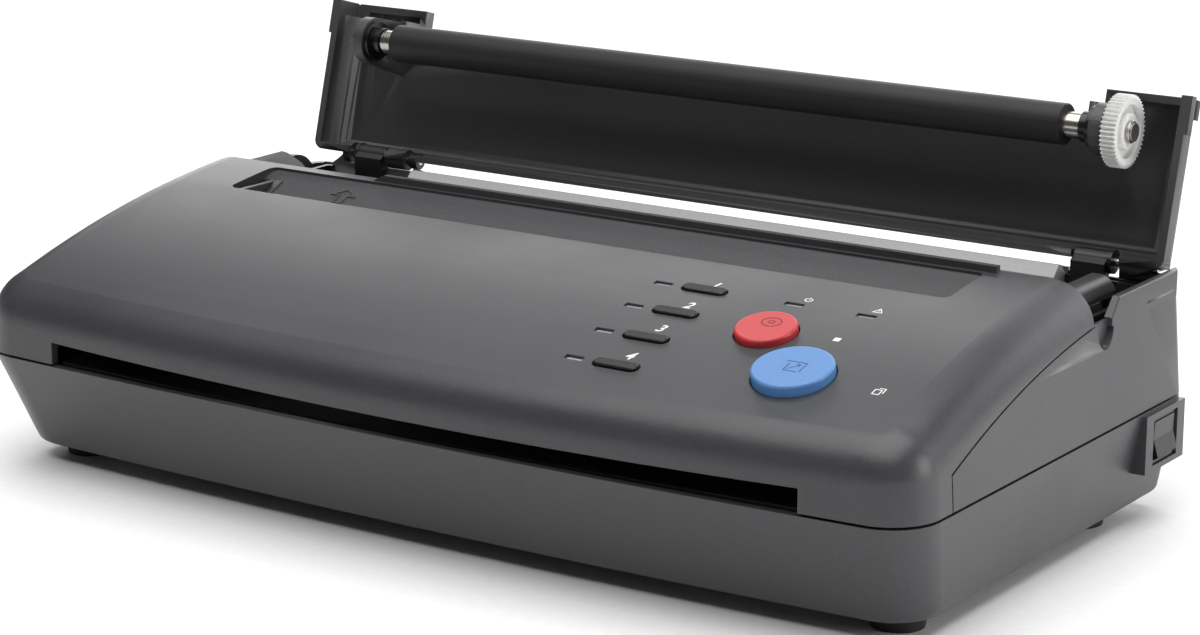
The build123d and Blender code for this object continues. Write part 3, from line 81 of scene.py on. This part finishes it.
def add_node(material, kind, inputs, **settings):
    """Adds one node with its settings. An input is a plain value, or (node, output) for a link."""
    node = material.node_tree.nodes.new(kind)
    for name, value in settings.items():
        setattr(node, name, value)
    for name, value in inputs.items():
        if isinstance(value, tuple) and isinstance(value[0], bpy.types.Node):
            material.node_tree.links.new(value[0].outputs[value[1]], node.inputs[name])
        else:
            node.inputs[name].default_value = value
    return node


def connect(material, **links):
    """Links (node, output) pairs to the shader's sockets; an underscore in a name stands for a space."""
    sockets = material.node_tree.nodes["Principled BSDF"].inputs
    for name, (node, output) in links.items():
        material.node_tree.links.new(node.outputs[output], sockets[name.replace("_", " ")])


def moulded(name, dark, light, roughness, grain, depth, cloud=45.0, edge=0.25, IOR=1.54):
    """Moulded plastic or rubber. All in mm: grain is the pitch of the tool's texture and depth its height, cloud the
    size of the slow changes in gloss, and edge the radius that the tool leaves on sharp edges."""
    material = new_material(name, IOR=IOR)
    place = add_node(material, "ShaderNodeTexCoord", {})
    # grain of the tool's surface, in height and faintly in colour
    spark = add_node(material, "ShaderNodeTexNoise", {"Vector": (place, "Object"), "Scale": 1000 / grain, "Detail": 3.0})
    tint = add_node(material, "ShaderNodeValToRGB", {"Fac": (spark, "Fac")})
    tint.color_ramp.elements[0].color, tint.color_ramp.elements[1].color = linear(dark), linear(light)
    tint.color_ramp.elements[0].position, tint.color_ramp.elements[1].position = 0.3, 0.7
    softened = add_node(material, "ShaderNodeBevel", {"Radius": edge * MM}, samples=4)
    bump = add_node(
        material, "ShaderNodeBump",
        {"Height": (spark, "Fac"), "Strength": 0.5, "Distance": depth * MM, "Normal": (softened, "Normal")},
    )
    # flow of the melt and handling, as slow changes of gloss
    mottle = add_node(material, "ShaderNodeTexNoise", {"Vector": (place, "Object"), "Scale": 1000 / cloud, "Detail": 2.0})
    gloss = add_node(
        material, "ShaderNodeMapRange",
        {"Value": (mottle, "Fac"), "From Min": 0.3, "From Max": 0.7, "To Min": roughness - 0.04, "To Max": roughness + 0.04},
    )
    connect(material, Base_Color=(tint, "Color"), Roughness=(gloss, "Result"), Normal=(bump, "Normal"))
    return material


def dress(material, *names):
    """Gives CAD nodes their material."""
    for name in names:
        nodes[name].data.materials.clear()
        nodes[name].data.materials.append(material)


def at(across, behind, height):
    """A place in the machine: across from the middle, behind the front and above the table, in mm."""
    return Vector((across, behind - front_reach, height)) * MM


# satin grey ABS: soft broad highlights, with a fine grain that shows where the light grazes
casing_plastic = moulded("grey_abs_spark_eroded", "#37373a", "#3f3f42", 0.38, grain=0.7, depth=0.03)
dress(casing_plastic, "base_case", "top_cover")

# the recess that the sheet slides down is etched deeper, so it takes no highlight; its darker colour is painted shade
# of the recess
recess_painted_shade_plastic = moulded("grey_abs_etched_painted_shade", "#2e2e31", "#3a3a3d", 0.5, grain=0.8, depth=0.12)
nodes["top_cover"].data.materials.append(recess_painted_shade_plastic)
recess_low, recess_high = at(-118.3, 78.35, 60.0), at(118.3, 101.2, 75.1)
# faces of the recess that look forward or sideways take the darker colour, which is painted shade
for face in nodes["top_cover"].data.polygons:
    inside = all(low < c < high for low, c, high in zip(recess_low, face.center, recess_high))
    if inside and (face.normal.y < -0.2 or abs(face.normal.x) > 0.9):
        face.material_index = 1

# ---------------------------------------------------------------- feed guide
# A thin grey fin stands on the left of the recess and keeps the sheet straight. A black strip lies along it, a black
# sheet on its far side is painted shade of a groove, and an arrow moulded into the recess points the way in.


def only(piece):
    bpy.ops.object.select_all(action="DESELECT")
    piece.select_set(True)
    bpy.context.view_layer.objects.active = piece


def block(name, low, high):
    """A block between two corners given as at() takes them, at its place and ready to be shaped."""
    bpy.ops.object.select_all(action="DESELECT")
    low, high = at(*low), at(*high)
    bpy.ops.mesh.primitive_cube_add(size=1.0, location=(low + high) / 2)
    piece = bpy.context.object
    piece.name = name
    piece.scale = high - low
    bpy.ops.object.transform_apply(location=True, rotation=True, scale=True)
    return piece


def pick(piece, choose, kind):
    """Goes into edit mode with the faces, edges or corners selected whose points all satisfy choose."""
    only(piece)
    bpy.ops.object.mode_set(mode="EDIT")
    bpy.ops.mesh.select_mode(type=kind)
    bpy.ops.mesh.select_all(action="DESELECT")
    bpy.ops.object.mode_set(mode="OBJECT")
    mesh = piece.data
    if kind == "VERT":
        for corner in mesh.vertices:
            corner.select = choose(corner.co)
    else:
        for part in mesh.polygons if kind == "FACE" else mesh.edges:
            part.select = all(choose(mesh.vertices[i].co) for i in part.vertices)
    bpy.ops.object.mode_set(mode="EDIT")


def cut(piece, point, normal):
    """Bisects a piece, drops what lies beyond the plane and closes the cut."""
    only(piece)
    bpy.ops.object.mode_set(mode="EDIT")
    bpy.ops.mesh.select_all(action="SELECT")
    bpy.ops.mesh.bisect(plane_co=point, plane_no=normal, use_fill=True, clear_outer=True)
    bpy.ops.object.mode_set(mode="OBJECT")


def round_edges(piece, choose, radius, segments=5):
    """Bevels the edges whose two ends satisfy choose; the radius is in mm."""
    pick(piece, choose, "EDGE")
    bpy.ops.mesh.bevel(offset=radius * MM, segments=segments, affect="EDGES")
    bpy.ops.object.mode_set(mode="OBJECT")


def fit(piece, material, body, smooth=35):
    """Gives a finished piece its material, shades it smooth where faces meet at less than smooth degrees, and ties it
    to its body."""
    piece.data.materials.clear()
    piece.data.materials.append(material)
    only(piece)
    bpy.ops.object.shade_smooth_by_angle(angle=radians(smooth))
    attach(piece, body)


def outward(piece):
    """Turns all faces of a closed piece outwards."""
    only(piece)
    bpy.ops.object.mode_set(mode="EDIT")
    bpy.ops.mesh.select_all(action="SELECT")
    bpy.ops.mesh.normals_make_consistent(inside=False)
    bpy.ops.object.mode_set(mode="OBJECT")


def stroke(points, width, closed=False):
    """A flat line of ink through points in mm, with mitred corners and 0.03 mm thick."""
    count = len(points)
    points = [Vector((*p, 0)) for p in points]
    sides = []
    for i, point in enumerate(points):
        before = (point - points[i - 1]).normalized() if closed or i else None
        after = (points[(i + 1) % count] - point).normalized() if closed or i < count - 1 else None
        before, after = before or after, after or before
        along = (before + after).normalized()
        reach = width / 2 / max(along.dot(after), 0.35)
        across = Vector((-along.y, along.x, 0)) * reach
        sides.append((point + across, point - across))
    corners = [c + Vector((0, 0, z)) for a, b in sides for c in (a, b) for z in (-0.02, 0.03)]
    faces = []
    for i in range(count if closed else count - 1):
        a, b = 4 * i, 4 * ((i + 1) % count)
        faces += [(a + 1, a + 3, b + 3, b + 1), (a, b, b + 2, a + 2), (a, a + 1, b + 1, b), (a + 2, b + 2, b + 3, a + 3)]
    if not closed:
        last = 4 * (count - 1)
        faces += [(0, 2, 3, 1), (last, last + 1, last + 3, last + 2)]
    mesh = bpy.data.meshes.new("stroke")
    mesh.from_pydata(corners, [], faces)
    piece = bpy.data.objects.new("stroke", mesh)
    bpy.context.scene.collection.objects.link(piece)
    return piece


ramp_slope = 0.436
ramp_foot = at(0, 75.0, 62.0)  # a point of the ramp's plane
ramp_up = Vector((0, 1, ramp_slope)).normalized()
ramp_normal = Vector((0, -ramp_slope, 1)).normalized()

fin = block("guide_fin", (-115.4, 78.6, 62.0), (-113.7, 95.6, 70.5))
cut(fin, ramp_foot, -ramp_normal)
round_edges(fin, lambda c: c.z > at(0, 0, 70.4).z, 0.35, 3)
fit(fin, casing_plastic, "casing")

black_strip = block("guide_strip", (-113.7, 79.0, 62.0), (-110.8, 94.0, 71.0))
cut(black_strip, ramp_foot, -ramp_normal)
cut(black_strip, ramp_foot + ramp_normal * 0.35 * MM, ramp_normal)
round_edges(black_strip, lambda c: (c - ramp_foot).dot(ramp_normal) > 0.3 * MM, 0.12, 2)

# a black sheet 0.3 mm thick lies on the ramp left of the fin where a groove is; its black is painted shade of the
# groove
groove_shade_sheet = block("guide_groove_shade_sheet", (-118.1, 79.0, 62.0), (-115.4, 94.0, 71.0))
cut(groove_shade_sheet, ramp_foot, -ramp_normal)
cut(groove_shade_sheet, ramp_foot + ramp_normal * 0.3 * MM, ramp_normal)
round_edges(groove_shade_sheet, lambda c: (c - ramp_foot).dot(ramp_normal) > 0.25 * MM, 0.12, 2)

arrow = stroke([(-1.4, -3.2), (-1.4, 0.4), (-3.9, 0.4), (0, 3.4), (3.9, 0.4), (1.4, 0.4), (1.4, -3.2)], 0.55, True)
arrow.name = "feed_arrow"
arrow_middle = at(-86.7, 91.8, 62.0 + ramp_slope * (91.8 - 75.0))
for corner in arrow.data.vertices:
    x, y, z = corner.co
    corner.co = arrow_middle + (Vector((x, 0, 0)) + ramp_up * y + ramp_normal * z * 8) * MM
outward(arrow)
# the arrow takes the recess's darker colour, which is painted shade
fit(arrow, recess_painted_shade_plastic, "casing")

# ---------------------------------------------------------------- feet
# Four turned feet of black rubber, pressed into the base.
foot_rubber = moulded("black_rubber_moulded", "#161616", "#1f1f20", 0.75, grain=0.5, depth=0.04)
dress(foot_rubber, "rubber_feet")

# ---------------------------------------------------------------- exit tray
# The ribbed tray behind the exit slot, moulded in black ABS with a coarse dull grain.
tray_plastic = moulded("black_abs_dull", "#151516", "#1c1c1e", 0.6, grain=0.8, depth=0.03)
dress(tray_plastic, "exit_tray")

# ---------------------------------------------------------------- rear bay
# The tub, the deck's supports and the hinge brackets are black ABS with a satin tool finish. A black plate closes the
# rear wall between the right bracket and the corner.
bay_plastic = moulded("black_abs_satin", "#131314", "#1a1a1b", 0.38, grain=0.6, depth=0.02)
dress(bay_plastic, "chassis", "deck_supports", "hinge_bracket_left", "hinge_bracket_right", "hinge_bush")
fit(black_strip, bay_plastic, "casing")
# the black of the sheet left of the fin is painted shade of a groove
fit(groove_shade_sheet, bay_plastic, "casing")

closing_plate = block("rear_closing_plate", (115.0, 154.4, 60.2), (142.5, 155.4, 62.5))
round_edges(closing_plate, lambda c: c.z > at(0, 0, 62.4).z, 0.3, 3)
fit(closing_plate, bay_plastic, "casing")

# ---------------------------------------------------------------- guide deck
# A thin wall of light grey ABS with a half-round crest, over which the sheet runs to the print head, and the trim of
# the same plastic that slopes down inside the rear wall.


def copy_of(node, name):
    """A copy of a CAD node's mesh with its loose triangles joined, to be worked on and put in the node's place."""
    piece = bpy.data.objects.new(name, nodes[node].data.copy())
    bpy.context.scene.collection.objects.link(piece)
    only(piece)
    bpy.ops.object.mode_set(mode="EDIT")
    bpy.ops.mesh.select_all(action="SELECT")
    bpy.ops.mesh.remove_doubles(threshold=0.01 * MM)
    bpy.ops.object.mode_set(mode="OBJECT")
    return piece


# smooth light grey ABS, with a faint silky gloss
deck_plastic = moulded("light_grey_abs", "#b0adae", "#bab7b8", 0.4, grain=0.6, depth=0.03)

deck = copy_of("head_deck", "guide_deck")
pick(deck, lambda c: c.y > at(0, 150.0, 0).y, "VERT")
bpy.ops.mesh.delete(type="VERT")
bpy.ops.object.mode_set(mode="OBJECT")
cut(deck, at(-133.9, 105.0, 60.0), Vector((-1, 0, 0)))
cut(deck, at(120.0, 105.0, 60.0), Vector((1, 0, 0)))
fit(deck, deck_plastic, "casing")
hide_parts("head_deck")

# the trim stands a little way in front of the wall, so that it shows below the open lid
trim_plate = copy_of("head_deck", "rear_trim_plate")
pick(trim_plate, lambda c: c.y < at(0, 150.0, 0).y, "VERT")
bpy.ops.mesh.delete(type="VERT")
bpy.ops.object.mode_set(mode="OBJECT")
fit(trim_plate, deck_plastic, "casing")

trim_bar = block("rear_trim_bar", (-105.0, 146.0, 59.6), (115.0, 154.6, 65.2))
cut(trim_bar, at(0, 146.0, 62.2), Vector((0, -3.0, 3.6)))
cut(trim_bar, at(0, 149.9, 65.2), Vector((0, 5.6, 4.3)))
round_edges(trim_bar, lambda c: c.z > at(0, 0, 65.1).z, 0.25, 3)
fit(trim_bar, deck_plastic, "casing")

# ---------------------------------------------------------------- gear guard
# A rounded grey nose over the right support covers the drive gear's edge. It stands on the support on a short foot.
guard = block("gear_guard", (136.0, 103.0, 65.5), (140.6, 131.8, 70.6))
cut(guard, at(0, 125.5, 70.6), Vector((0, 3.6, 5.8)))
round_edges(guard, lambda c: c.x > at(140.5, 0, 0).x and c.y > at(0, 131.7, 0).y, 3.0, 8)
pick(guard, lambda c: c.z < at(0, 0, 65.6).z, "FACE")
bpy.ops.mesh.inset(thickness=0.6 * MM)
bpy.ops.mesh.extrude_region_move(TRANSFORM_OT_translate={"value": (0, 0, -1.5 * MM)})
bpy.ops.object.mode_set(mode="OBJECT")
round_edges(
    guard, lambda c: c.z > at(0, 0, 66.9).z and c.x > at(140.5, 0, 0).x, 2.4, 7
)
fit(guard, casing_plastic, "casing")

rail = block("wall_rail", (139.2, 123.0, 60.2), (140.6, 149.0, 61.0))
round_edges(rail, lambda c: c.x < at(139.3, 0, 0).x, 0.35, 3)
fit(rail, deck_plastic, "casing")

# ---------------------------------------------------------------- right rear corner
# On the right the housing's wall climbs steadily from the cover to a rounded corner that stands beside the lid, with a
# low wall from there to the hinge. Both are moulded in one with the shell.


def combine(piece, tool, operation):
    """Joins a tool to a piece or carves it out of it, and clears the tool away."""
    only(piece)
    change = piece.modifiers.new("combine", "BOOLEAN")
    change.operation, change.solver, change.object = operation, "EXACT", tool
    bpy.ops.object.modifier_apply(modifier=change.name)
    bpy.data.objects.remove(tool)


shell = copy_of("rear_housing", "rear_shell")
combine(shell, block("level", (139.0, 128.0, 62.7), (152.0, 152.0, 72.0)), "DIFFERENCE")
ear = block("ear", (145.7, 113.0, 60.5), (148.4, 157.4, 67.4))
cut(ear, at(0, 113.0, 62.7), Vector((0, -4.3, 40.2)))
cut(ear, at(148.15, 0, 60.5), Vector((1.0, 0, 0.068)))
for turn in (15, 30, 45, 60, 75):
    # flats that together follow the housing's rounded corner
    out = Vector((cos(radians(turn)), sin(radians(turn)), 0))
    cut(ear, at(142.1, 151.4, 0) + out * 6.0 * MM, out)
round_edges(ear, lambda c: c.z > at(0, 0, 62.6).z and c.x > at(147.0, 0, 0).x, 0.6, 3)
combine(shell, ear, "UNION")
fit(shell, casing_plastic, "casing", smooth=14)
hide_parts("rear_housing")

low_wall = block("corner_low_wall", (129.5, 156.1, 60.5), (144.3, 157.2, 65.0))
round_edges(low_wall, lambda c: c.z > at(0, 0, 64.9).z, 0.4, 3)
fit(low_wall, casing_plastic, "casing")

# ---------------------------------------------------------------- lid
# One deep pan of black ABS with the bearing posts, ears and knuckles moulded on. A long groove runs along its
# hinge side and its lower corners are rounded.
hinge = at(0, 154.5, 66.8)
lid_lean = radians(15.3)
lid_up = Vector((0, sin(lid_lean), cos(lid_lean)))
lid_in = Vector((0, -cos(lid_lean), sin(lid_lean)))


def on_lid(across, up, inward):
    """A place on the open lid, in mm: across, up from the hinge to the free edge, and in towards the machine."""
    return hinge + (Vector((across, 0, 0)) + lid_up * up + lid_in * inward) * MM


def lid_block(name, low, high):
    """A block between two corners in the lid's own directions."""
    piece = block(name, (-0.5, 0, 0), (0.5, 1.0, 1.0))
    for corner in piece.data.vertices:
        pair = [h if c > m else l for l, h, c, m in zip(low, high, corner.co, at(0, 0.5, 0.5))]
        corner.co = on_lid(*pair)
    outward(piece)
    return piece


lid = copy_of("lid", "lid_pan")
for side in (-1, 1):
    # the web that joins each ear's low rim to its side wall
    web = lid_block("web", *((min(side * 141.4, side * 142.9), 41.0, -8.2), (max(side * 141.4, side * 142.9), 46.4, -6.0)))
    combine(lid, web, "UNION")
groove = lid_block("groove", (-106.0, 1.1, 3.45), (109.7, 2.3, 4.2))
combine(lid, groove, "DIFFERENCE")
for side in (-1, 1):
    for turn in (22.5, 45.0, 67.5):
        # flats that together round the corner to 3 mm
        out = Vector((side * cos(radians(turn)), 0, 0)) - lid_up * sin(radians(turn))
        corner_centre = on_lid(side * (144.5 - 3.0), -0.3 + 3.0, 0)
        cut(lid, corner_centre + out * 3.0 * MM, out)
mark_long = lid_block("mould_mark_long", (128.9, 4.4, -7.8), (131.5, 4.75, -7.6))
mark_short = lid_block("mould_mark_short", (131.15, 3.1, -7.8), (131.5, 4.4, -7.6))
combine(mark_long, mark_short, "UNION")

# black ABS with a fine texture: it goes grey where the light falls flat on it
lid_plastic = moulded("black_abs_fine_texture", "#38383a", "#404042", 0.45, grain=0.6, depth=0.02)
fit(lid, lid_plastic, "lid_frame")
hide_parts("lid")
fit(mark_long, lid_plastic, "lid_frame")

# ---------------------------------------------------------------- platen
# A steel shaft, turned and ground, with silicone rubber vulcanised on and ground true.
# the slight warm tint in the steel's colour is a painted reflection of warm surroundings
steel = new_material("ground_steel", Metallic=1.0, Base_Color=linear("#b9b4ae"), Anisotropic=0.5)
steel_place = add_node(steel, "ShaderNodeTexCoord", {})
steel_stretch = add_node(
    steel, "ShaderNodeMapping", {"Vector": (steel_place, "Object"), "Scale": (1000 / 0.25, 60.0, 60.0)}
)
steel_rings = add_node(steel, "ShaderNodeTexNoise", {"Vector": (steel_stretch, "Vector"), "Scale": 1.0, "Detail": 2.0})
steel_gloss = add_node(
    steel, "ShaderNodeMapRange", {"Value": (steel_rings, "Fac"), "To Min": 0.16, "To Max": 0.36}
)
steel_bump = add_node(
    steel, "ShaderNodeBump", {"Height": (steel_rings, "Fac"), "Strength": 0.3, "Distance": 0.01 * MM}
)
connect(steel, Roughness=(steel_gloss, "Result"), Normal=(steel_bump, "Normal"))
dress(steel, "platen_shaft", "hinge_pin_left", "hinge_pin_right", "motor_shaft", "scan_shaft",
      "scan_motor_shaft", "drive_screw", "case_screws", "board_screws", "drive_motor", "scan_motor")

platen_rubber = moulded("silicone_rubber_ground", "#1b1b1c", "#232324", 0.55, grain=0.35, depth=0.02, IOR=1.43)
dress(platen_rubber, "platen_roller", "scan_roller")

bush_plastic = moulded("black_acetal", "#101011", "#151516", 0.3, grain=0.4, depth=0.008, IOR=1.48)
dress(bush_plastic, "platen_bush_left", "platen_bush_right")

gear_plastic = moulded("white_acetal", "#e2e2df", "#eeeeec", 0.35, grain=0.8, depth=0.01, edge=0.1, IOR=1.48)
gear_plastic.node_tree.nodes["Principled BSDF"].inputs["Subsurface Weight"].default_value = 0.15
gear_plastic.node_tree.nodes["Principled BSDF"].inputs["Subsurface Radius"].default_value = (1.0, 1.0, 1.0)
gear_plastic.node_tree.nodes["Principled BSDF"].inputs["Subsurface Scale"].default_value = 0.6 * MM
dress(gear_plastic, "platen_gear", "drive_gear", "motor_pinion", "scan_gear", "scan_pinion")

# a sprung steel ring on the shaft's end holds the gear
bpy.ops.object.select_all(action="DESELECT")
bpy.ops.mesh.primitive_cylinder_add(
    vertices=48, radius=3.1 * MM, depth=0.8 * MM, location=on_lid(132.3, 34.9, 9.75), rotation=(0, pi / 2, 0)
)
shaft_clip = bpy.context.object
shaft_clip.name = "shaft_clip"
bpy.ops.object.transform_apply(location=True, rotation=True, scale=True)
pick(shaft_clip, lambda c: c.x > 132.6 * MM, "FACE")
bpy.ops.mesh.bevel(offset=0.25 * MM, segments=3, affect="EDGES")
bpy.ops.object.mode_set(mode="OBJECT")
pick(shaft_clip, lambda c: c.x > 132.69 * MM and (c - on_lid(132.7, 34.9, 9.75)).length < 2.9 * MM, "FACE")
bpy.ops.mesh.inset(thickness=0.5 * MM)
bpy.ops.mesh.extrude_region_move(TRANSFORM_OT_translate={"value": (-0.3 * MM, 0, 0)})
bpy.ops.object.mode_set(mode="OBJECT")
fit(shaft_clip, steel, "platen")
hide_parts("gear_clip")

# ---------------------------------------------------------------- controls
# Four slim keys and two round buttons stand in openings of the arched cover, beside small lamps.
key_plastic = moulded("black_abs_glossy", "#080809", "#0d0d0e", 0.26, grain=0.5, depth=0.01)
dress(key_plastic, "key_1", "key_2", "key_3", "key_4")
stop_plastic = moulded("red_abs", "#c22f34", "#c8363b", 0.36, grain=0.5, depth=0.015)
dress(stop_plastic, "stop_button")
copy_plastic = moulded("blue_abs", "#5284c0", "#5a8cc8", 0.36, grain=0.5, depth=0.015)
dress(copy_plastic, "copy_button")
lamp_plastic = moulded("diffusing_polycarbonate", "#b8bac0", "#c4c6cc", 0.3, grain=0.5, depth=0.008, IOR=1.58)
dress(lamp_plastic, "mode_lamps", "status_lamps")

# ---------------------------------------------------------------- printed marks
# Thin white ink on the cover beside each control, numbers for the keys and plain shapes for the rest, and marks of
# darker ink on the two buttons.
crown_radius, crown_apex, crown_height, panel_behind = 362.0, 132.3, 74.8, 40.3
panel_slope = asin((crown_apex - panel_behind) / crown_radius)
panel_up = Vector((0, cos(panel_slope), sin(panel_slope)))
panel_out = Vector((0, -sin(panel_slope), cos(panel_slope)))
panel_middle = at(0, panel_behind, crown_height - crown_radius + crown_radius * cos(panel_slope))


def lay(piece, x, s, level=None):
    """Lays a flat shape drawn in mm on the cover's arch at x across and s up the panel, or at a level on a button."""
    for corner in piece.data.vertices:
        along = s + corner.co.y
        height = corner.co.z + (level if level is not None else sqrt(crown_radius**2 - along**2) - crown_radius)
        corner.co = panel_middle + (Vector((x + corner.co.x, 0, 0)) + panel_up * along + panel_out * height) * MM


def drawing(name, strokes, x, s, level, material, body):
    """Joins strokes to one piece, lays it on the panel and fits it."""
    parts = [stroke(*one) for one in strokes]
    bpy.ops.object.select_all(action="DESELECT")
    for part in parts:
        part.select_set(True)
    piece = parts[0]
    bpy.context.view_layer.objects.active = piece
    if len(parts) > 1:
        bpy.ops.object.join()
    piece.name = name
    lay(piece, x, s, level)
    outward(piece)
    fit(piece, material, body)


# dense white pad-printing ink, a little uneven
white_ink = moulded("white_pad_print_ink", "#ececec", "#f6f6f6", 0.5, grain=0.4, depth=0.01, edge=0.02)
red_ink = moulded("dark_red_ink", "#6e1216", "#78171b", 0.5, grain=0.4, depth=0.01, edge=0.02)
blue_ink = moulded("dark_blue_ink", "#244a7e", "#294f84", 0.5, grain=0.4, depth=0.01, edge=0.02)

for number, s in enumerate((24.9, 11.7, -1.9, -16.7), start=1):
    bpy.ops.object.select_all(action="DESELECT")
    bpy.ops.object.text_add()
    numeral = bpy.context.object
    numeral.name = f"numeral_{number}"
    numeral.data.body = str(number)
    numeral.data.size, numeral.data.shear, numeral.data.extrude, numeral.data.offset = 4.8, 0.25, 0.025, 0.08
    numeral.data.align_x, numeral.data.align_y = "CENTER", "CENTER"
    bpy.ops.object.convert(target="MESH")
    numeral = bpy.context.object
    lay(numeral, 57.5, s)
    fit(numeral, white_ink, "casing")

ring = [(cos(radians(a)), sin(radians(a))) for a in range(0, 360, 15)]
drawing("power_mark", [
    ([(1.0 * cos(radians(a)), 1.0 * sin(radians(a))) for a in range(125, 416, 15)], 0.32),
    ([(0, 0.1), (0, 1.35)], 0.32),
], 85.6, 25.2, None, white_ink, "casing")
drawing("error_mark", [
    ([(-1.3, -0.9), (1.3, -0.9), (0, 1.3)], 0.3, True), ([(0, -0.1), (0, 0.5)], 0.3), ([(0, -0.55), (0, -0.35)], 0.3),
], 106.0, 25.2, None, white_ink, "casing")
drawing("stop_mark", [([(-0.9, -0.0), (0.9, 0.0)], 1.8)], 104.2, 7.0, None, white_ink, "casing")
drawing("copy_mark", [
    ([(-1.3, -1.2), (0.5, -1.2), (0.5, 0.9), (-1.3, 0.9)], 0.3, True), ([(-0.5, 1.6), (1.25, 1.6), (1.25, -0.5)], 0.3),
], 127.2, -13.4, None, white_ink, "casing")
drawing("stop_ring", [
    ([(2.7 * x, 2.2 * y) for x, y in ring], 0.42, True), ([(-0.75, -0.6), (0.75, -0.6), (0.75, 0.6), (-0.75, 0.6)], 0.4, True),
], 85.6, 6.9, 1.968, red_ink, "stop_button")
drawing("copy_sheets", [
    ([(1.8, -2.4), (-1.8, -2.4), (-1.8, 1.2)], 0.4), ([(-3.2, 2.2), (2.6, 2.2), (2.6, -2.2)], 0.4),
    ([(-1.1, -1.6), (1.2, 0.9)], 0.35), ([(0.3, 1.2), (1.4, 1.1), (1.3, 0.1)], 0.35),
], 103.4, -12.6, 2.384, blue_ink, "copy_button")

# ---------------------------------------------------------------- power switch and inlet
# A rocker in its own housing at the rear of the right side, moulded in black polyamide like the inlet at the back.
switch_plastic = moulded("black_polyamide", "#0d0d0e", "#121213", 0.3, grain=0.5, depth=0.012, IOR=1.53)
dress(switch_plastic, "switch_housing", "power_rocker", "power_inlet")

# ---------------------------------------------------------------- inside
# What works inside: boards of green laminate, the print head on its sink, the sensor and the supply.
board_laminate = moulded("green_solder_mask", "#0f4a2c", "#14593a", 0.3, grain=1.2, depth=0.01, IOR=1.5)
dress(board_laminate, "main_board", "panel_board")
dress(bay_plastic, "key_switches", "power_supply", "image_sensor", "scan_frame")
dress(steel, "motor_plate", "heat_sink", "print_head")
dress(lamp_plastic, "sensor_glass")

# ---------------------------------------------------------------- studio
# A pale paper floor, soft boxes and the camera, at the photograph's own viewing angle.
bpy.ops.object.select_all(action="DESELECT")
bpy.ops.mesh.primitive_plane_add(size=14.0)
floor = bpy.context.object
floor.name = "studio_floor"
floor.data.materials.append(moulded("pale_paper", "#f4f4f4", "#f8f8f8", 0.8, grain=3.0, depth=0.05, IOR=1.4))

world = bpy.data.worlds.new("studio_world")
world.use_nodes = True
world.node_tree.nodes["Background"].inputs["Color"].default_value = linear("#e6e8ea")
world.node_tree.nodes["Background"].inputs["Strength"].default_value = 0.1
bpy.context.scene.world = world
bpy.context.scene.view_settings.view_transform = "Standard"

aim = Vector((0.0, 0.0, 0.05))
for name, place, size, power in (
    ("overhead_softbox", (0.0, -0.2, 1.6), (2.0, 2.0), 40.0),
    ("backdrop_light", (-0.4, 2.6, 1.0), (5.0, 2.0), 80.0),
    ("right_softbox", (1.7, 0.5, 0.5), (0.9, 0.9), 12.0),
):
    bpy.ops.object.light_add(type="AREA", location=place)
    light = bpy.context.object
    light.name = name
    light.data.shape = "RECTANGLE"
    light.data.size, light.data.size_y = size
    light.data.energy = power
    light.rotation_euler = (Vector(place) - aim).to_track_quat("Z", "Y").to_euler()

azimuth, elevation, roll = radians(33.80), radians(14.33), radians(0.22)
bpy.ops.object.camera_add(location=(0.5008, -0.73927, 0.2747))
camera = bpy.context.object
camera.name = "studio_camera"
turn = Matrix.Rotation(azimuth, 3, "Z") @ Matrix.Rotation(pi / 2 - elevation, 3, "X") @ Matrix.Rotation(roll, 3, "Z")
camera.rotation_euler = turn.to_euler()
camera.data.sensor_width = 36.0
camera.data.lens = 99.85
bpy.context.scene.camera = camera
